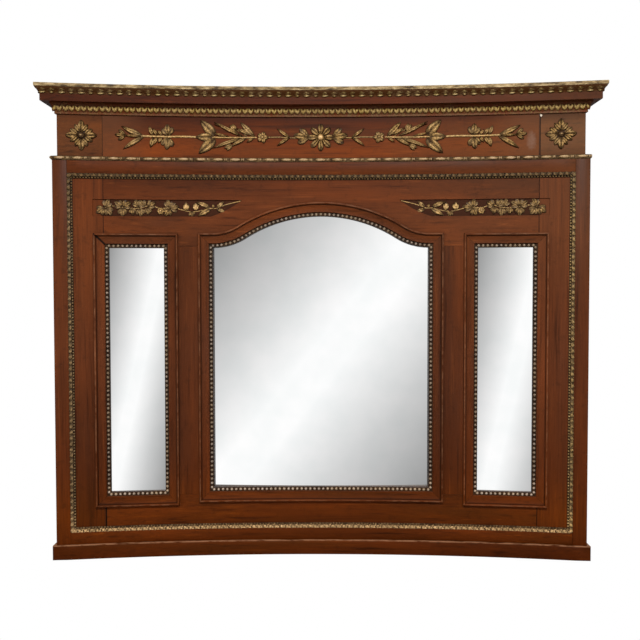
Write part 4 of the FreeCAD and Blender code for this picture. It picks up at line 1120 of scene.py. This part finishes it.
class MIRROR_OT_necking(Piece, bpy.types.Operator):
    """Necking carved with olives and pairs of beads under the frieze"""
    bl_idname = "mirror.necking"
    bl_label = "Necking"

    def make(self):
        pitch, radius = settings().olive_pitch, 4.6 * MM
        low = BODY_TOP
        profile = [(FRIEZE, low), (1.5 * MM, low), (2.6 * MM, low + 2 * MM), (2.6 * MM, low + 10.5 * MM),
                   (1 * MM, low + 11.5 * MM), (FRIEZE, NECKING_TOP)]
        unit = bmesh.new()
        self.olive(unit, 0.0, 0.33 * pitch, radius)
        for x in (0.385 * pitch, 0.475 * pitch):
            self.olive(unit, x, 0.05 * pitch, 0.95 * radius)
        carved_run("carved_necking", "necking_moulding", "moulding_gilding", profile, 0.3, unit, pitch,
                   NECKING_PROUD - radius, low + 6.6 * MM)

    def olive(self, unit, x, half, radius):
        """Long round bead that lies along x."""
        layer = float_layer(unit, "relief")
        made = bmesh.ops.create_uvsphere(unit, u_segments=8, v_segments=8, radius=1.0)
        for vert in made["verts"]:
            vert[layer] = 0.35 + 0.65 * max(0.0, -vert.co.y)
            vert.co = Vector((x + half * vert.co.z, radius * vert.co.y, radius * vert.co.x))


class MIRROR_OT_cornice(Piece, bpy.types.Operator):
    """Carved bed moulding, corona, carved crown and top fillet"""
    bl_idname = "mirror.cornice"
    bl_label = "Cornice"

    def make(self):
        self.bed()
        self.crown()
        corona = walnut("walnut_corona", LONG, offset=8.8, shade=(0.72, 0.6, 0.42))
        paint_nodes(["corona_board"], corona)
        self.top_board()

    def bed(self):
        """Cove with broad and narrow leaves of two halves each, and thin leaves between them."""
        pitch, low, high = settings().bed_pitch, BED_LOW, BED_HIGH
        fillet, foot, head = low + 5 * MM, -7.5 * MM, 3.6 * MM
        hollow = [(foot + (head - foot) * share ** 1.5, fillet + (high - 4 * MM - fillet) * share)
                  for share in (k / 6 for k in range(7))]
        profile = ([(FRIEZE, low), (-7.0 * MM, low), (-7.0 * MM, fillet)] + hollow
                   + [(4.8 * MM, high - 3.6 * MM), (4.8 * MM, high), (FRIEZE, high)])
        unit = bmesh.new()
        for x, width in ((-pitch / 4, 18), (pitch / 4, 14)):
            for side in (-1, 1):
                leaf(unit, x + side * 0.5 * MM, 11 * MM, 270 + side * 20, *mm(25, 0.66 * width, 7.2), 0.0,
                     curl=side * 2.4 * MM, rings=8, around=8, blunt=1.5, vein=0.1, full=0.6)
            leaf(unit, x, -1 * MM, 270, *mm(9, 4), 3.4 * MM, 0.0, rings=5, around=6, top=0.6)
        for x in (0, pitch / 2):
            leaf(unit, x, 7 * MM, 270, *mm(15, 5), 2.8 * MM, 0.0, rings=5, around=6, top=0.6)
        carved_run("carved_bed_moulding", "bed_moulding", "bed_gilding", profile,
                   lambda co: 0.22 if co.z < low + 5.2 * MM else 0.1, unit, pitch, -4.8 * MM,
                   (low + high) / 2 + 1.5 * MM, math.radians(20))

    def crown(self):
        """Wave with three rows: flat tongues below, slanting leaves and a low row on top."""
        pitch, low, high = settings().crown_pitch, CROWN_LOW, CROWN_HIGH
        back, foot, head = CROWN_PROUD - CROWN_DEPTH, CORONA_PROUD + 0.5 * MM, CROWN_PROUD - 1.5 * MM
        wave = [(foot + (head - foot) * (share - 0.13 * math.sin(2 * math.pi * share)),
                 low + (high - low) * share) for share in (k / 8 for k in range(9))]
        unit = bmesh.new()
        for x, tooth, crest in ((-0.5 * pitch, 22, 1.05), (0.5 * pitch, 14, 0.8)):
            leaf(unit, x - 0.5 * tooth * MM, -6.8 * MM, 3, *mm(tooth, 7.5), 5.2 * MM, 0.0, rings=8, around=8,
                 vein=0.0, top=crest, full=0.5)
            leaf(unit, x - 12 * MM, -1.5 * MM, 14, *mm(25, 8), 4.0 * MM, 0.0, rings=8, around=8, vein=0.5,
                 top=0.85)
            leaf(unit, x - 9 * MM, 5.5 * MM, -8, *mm(18, 5, 3.0), 0.0, rings=6, around=8, vein=0.0,
                 top=0.7)
        carved_run("carved_crown", "crown_moulding", "crown_gilding", [(back, low)] + wave + [(back, high)],
                   0.08, unit, 2 * pitch, (foot + head) / 2 - 1 * MM, (low + high) / 2, math.radians(30))

    def top_board(self):
        """Top board with its front edge gilt and its upper side left plain."""
        material = gilding("gilt_top_fillet", offset=11.0)
        recoloured(material, self.worn_fillet)
        paint_nodes(["top_board"], material)

    def worn_fillet(self, tree, place, old):
        """Patchy gold on the edge, dusty wood on top; the old colour is left out."""
        wear = noise(tree, place, 9 * MM, 4.0, 0.7, (4, 1, 1))
        gold = ramp(tree, wear, [(0.36, linear("#3a2b18")), (0.5, linear("#776240")),
                                 (0.66, linear("#a8926c"))])
        normal = node(tree, "ShaderNodeNewGeometry").outputs["Normal"]
        flat = maths(tree, "GREATER_THAN", split(tree, normal)["Z"], 0.5)
        return mixed(tree, flat, gold, mixed(tree, wear, linear("#4a3020"), linear("#6b4c36")))


class MIRROR_OT_back(Piece, bpy.types.Operator):
    """Rails, packing and hanging plates at the back, with their screws"""
    bl_idname = "mirror.back"
    bl_label = "Back"

    def make(self):
        paint_nodes(["back_rail_bottom", "back_rail_top", "cornice_packing"], "pine_long")
        paint_nodes(["hanging_plates"], "iron")
        bm = bmesh.new()
        low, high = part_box("hanging_plates")
        inset = 20 * MM
        for side in (-1, 1):
            for rise in (-inset, inset):
                self.screw(bm, side * (high.x - inset), (low.z + high.z) / 2 + rise)
        finish_piece("hanger_screw_heads", bm, "iron", bent=False)

    def screw(self, bm, x, z):
        """Slotted head let in flush with the plate."""
        head, half_slot, slot_depth = mm(4, 0.5, 0.45)
        move = Matrix.Translation((x, WALL_Y - 0.35 * MM, z)) @ Matrix.Rotation(math.pi / 2, 4, "X")
        made = bmesh.ops.create_cone(bm, cap_ends=True, segments=16, radius1=head, radius2=head,
                                     depth=0.6 * MM, matrix=move)
        slot = Vector((1, 0, 0.4)).normalized()
        across = Vector((-slot.z, 0, slot.x))
        faces = {face for vert in made["verts"] for face in vert.link_faces}
        for offset in (-half_slot, half_slot):
            geom = set(faces) | {part for face in faces for part in (*face.edges, *face.verts)}
            cut = bmesh.ops.bisect_plane(bm, geom=list(geom), plane_co=Vector((x, 0, z)) + across * offset,
                                         plane_no=across)
            faces |= {item for item in cut["geom"] if isinstance(item, bmesh.types.BMFace)}
        centre = Vector((x, 0, z))
        groove = [face for face in faces if face.is_valid and face.calc_center_median().y > WALL_Y - 0.1 * MM
                  and abs((face.calc_center_median() - centre).dot(across)) < 0.4 * MM]
        sunk = bmesh.ops.extrude_face_region(bm, geom=groove)
        bmesh.ops.delete(bm, geom=groove, context="FACES_ONLY")
        for item in sunk["geom"]:
            if isinstance(item, bmesh.types.BMVert):
                item.co.y -= slot_depth


# ---- stage ------------------------------------------------------------------------------------
CAMERA_PLACE = (22.64 * MM, -2750.3 * MM, 830.5 * MM)
CAMERA_PITCH = 0.0383              # downwards, radians
CAMERA_YAW = -0.0092
CAMERA_ROLL = 0.0014
LENS, SENSOR = 50.625, 36.0        # focal length and sensor width, in millimetres
CARD_Y = -0.57                     # backdrops that the plates reflect
CARD_GLOW = 1.03
ROOM_LIGHT, ROOM_WHITE, ROOM_SEEN = 0.17, 1.0, 0.8     # on the object, to the camera, in the plates


class MIRROR_OT_stage(Piece, bpy.types.Operator):
    """Camera, soft lamps, surroundings, floor, and the backdrops that the plates reflect"""
    bl_idname = "mirror.stage"
    bl_label = "Stage"

    def make(self):
        scene = bpy.context.scene
        scene.view_settings.view_transform = "Standard"
        camera_data = bpy.data.cameras.new("camera")
        camera_data.lens = LENS
        camera_data.sensor_width = SENSOR
        camera = bpy.data.objects.new("camera", camera_data)
        turn = (Matrix.Rotation(-CAMERA_YAW, 4, "Z") @ Matrix.Rotation(math.pi / 2 - CAMERA_PITCH, 4, "X")
                @ Matrix.Rotation(-CAMERA_ROLL, 4, "Z"))
        camera.matrix_world = Matrix.Translation(CAMERA_PLACE) @ turn
        scene.collection.objects.link(camera)
        scene.camera = camera
        self.lamp("key", (0.3, -3.0, 2.9), (0, 0, 0.75), 0.8, 140)
        self.lamp("fill", (-3.0, -2.6, 1.9), (0, 0, 0.7), 2.0, 34)
        self.lamp("back", (0.5, 3.0, 2.4), (0, 0, 0.8), 2.0, 40)
        self.world(scene)
        self.floor()
        for name, spread, shift in (("left", 1.0, 0.0), ("centre", 1.03, 0.05), ("right", 0.84, 0.16)):
            self.reflected_wall(name, spread, shift)

    def sheet(self, name, look, size, move=Matrix()):
        """Flat square of the stage, with a new material called look."""
        bm = bmesh.new()
        bmesh.ops.create_grid(bm, x_segments=1, y_segments=1, size=size, matrix=move)
        thing = new_object(name, bm)
        material = bpy.data.materials.new(look)
        material.use_nodes = True
        thing.data.materials.append(material)
        return thing, material.node_tree

    def reflected_wall(self, name, spread, shift):
        """Pale backdrop that only reflections meet: it fills one plate, white along a diagonal band
        and grey towards the upper left and lower right."""
        left, right, bottom, top = SIGHTS[name]
        turn, plane = plate_plane(name)
        normal = Vector((-math.sin(turn), -math.cos(turn), 0))
        eye = Vector(CAMERA_PLACE)
        top += ARCH_RISE if name == "centre" else 0.0
        hits = []
        for x, z in ((left, bottom), (right, top)):
            point = Vector((x, plane(x), z))
            way = (point - eye).normalized()
            way -= 2 * way.dot(normal) * normal
            hits.append(point + way * ((CARD_Y - point.y) / way.y))
        low, high = hits
        upright = Matrix.Rotation(math.pi / 2, 4, "X")
        card, tree = self.sheet(name + "_backdrop", name + "_backdrop_light", 1.02, upright)
        card.location = (low + high) / 2
        card.scale = (abs(high.x - low.x) / 2, 1, (high.z - low.z) / 2)
        tree.nodes.clear()
        parts = split(tree, object_place(tree))
        slant = maths(tree, "MULTIPLY", maths(tree, "SUBTRACT", parts["Z"], parts["X"]), spread / 2)
        away = maths(tree, "ABSOLUTE", maths(tree, "ADD", slant, shift))
        stops = [(0.0, linear("#ffffff")), (0.1, linear("#ffffff")), (0.55, linear("#cecece")),
                 (1.0, tuple(settings().gradient_grey))]
        glow = node(tree, "ShaderNodeEmission", [("Color", ramp(tree, away, stops)), ("Strength", CARD_GLOW)])
        clear = node(tree, "ShaderNodeBsdfTransparent")
        glossy = node(tree, "ShaderNodeLightPath").outputs["Is Glossy Ray"]
        shown = node(tree, "ShaderNodeMixShader", [(0, glossy), (1, clear.outputs[0]), (2, glow.outputs[0])])
        node(tree, "ShaderNodeOutputMaterial", [("Surface", shown.outputs[0])])

    def lamp(self, name, place, target, size, power):
        data = bpy.data.lights.new(name, "AREA")
        data.shape = "DISK"
        data.size = size
        data.energy = power
        lamp = bpy.data.objects.new(name, data)
        way = Vector(target) - Vector(place)
        lamp.matrix_world = Matrix.Translation(place) @ way.to_track_quat("-Z", "Y").to_matrix().to_4x4()
        bpy.context.scene.collection.objects.link(lamp)

    def world(self, scene):
        """White to the camera, plain light on the object and a grey room in reflections."""
        world = bpy.data.worlds.new("studio")
        world.use_nodes = True
        scene.world = world
        tree = world.node_tree
        tree.nodes.clear()
        path = node(tree, "ShaderNodeLightPath")
        light = node(tree, "ShaderNodeBackground", [("Color", (1, 1, 1, 1)), ("Strength", ROOM_LIGHT)])
        white = node(tree, "ShaderNodeBackground", [("Color", (1, 1, 1, 1)), ("Strength", ROOM_WHITE)])
        grey = (*settings().gradient_grey, 1)
        seen = node(tree, "ShaderNodeBackground", [("Color", grey), ("Strength", ROOM_SEEN)])
        glossy = maths(tree, "MAXIMUM", path.outputs["Is Glossy Ray"], path.outputs["Is Transmission Ray"])
        first = node(tree, "ShaderNodeMixShader", [(0, glossy), (1, light.outputs[0]), (2, seen.outputs[0])])
        last = node(tree, "ShaderNodeMixShader", [(0, path.outputs["Is Camera Ray"]), (1, first.outputs[0]),
                                                  (2, white.outputs[0])])
        node(tree, "ShaderNodeOutputWorld", [("Surface", last.outputs[0])])

    def floor(self):
        """Pale floor that neither the camera nor the plates see, just under the base."""
        floor, tree = self.sheet("floor", "pale_floor", 6.0)
        floor.location.z = -0.5 * MM
        shader = tree.nodes["Principled BSDF"]
        feed(tree, shader, [("Base Color", (*linear("#d8d4ce"), 1)), ("Roughness", 0.9)])
        path = node(tree, "ShaderNodeLightPath")
        clear = node(tree, "ShaderNodeBsdfTransparent")
        unseen = maths(tree, "MAXIMUM", path.outputs["Is Camera Ray"], path.outputs["Is Glossy Ray"])
        shown = node(tree, "ShaderNodeMixShader", [(0, unseen), (1, shader.outputs[0]),
                                                   (2, clear.outputs[0])])
        tree.links.new(shown.outputs[0], tree.nodes["Material Output"].inputs["Surface"])


PIECES = (MIRROR_OT_base, MIRROR_OT_border, MIRROR_OT_field, MIRROR_OT_gilt_moulding, MIRROR_OT_frames,
          MIRROR_OT_pearls, MIRROR_OT_plates, MIRROR_OT_garlands, MIRROR_OT_frieze, MIRROR_OT_necking,
          MIRROR_OT_cornice, MIRROR_OT_back, MIRROR_OT_stage)


class MIRROR_PT_panel(bpy.types.Panel):
    """Lists the settings and the pieces"""
    bl_label = "Overmantel mirror"
    bl_idname = "MIRROR_PT_panel"
    bl_space_type = "VIEW_3D"
    bl_region_type = "UI"
    bl_category = "Mirror"

    def draw(self, context):
        for name in MirrorSettings.__annotations__:
            self.layout.prop(context.scene.mirror_looks, name)
        for piece in PIECES:
            self.layout.operator(piece.bl_idname)


def register():
    for cls in (MirrorSettings, *PIECES, MIRROR_PT_panel):
        bpy.utils.register_class(cls)
    bpy.types.Scene.mirror_looks = bpy.props.PointerProperty(type=MirrorSettings)


def unregister():
    del bpy.types.Scene.mirror_looks
    for cls in reversed((MirrorSettings, *PIECES, MIRROR_PT_panel)):
        bpy.utils.unregister_class(cls)


def main():
    register()
    for piece in PIECES:
        group, name = piece.bl_idname.split(".")
        getattr(getattr(bpy.ops, group), name)()


if __name__ == "__main__":
    main()
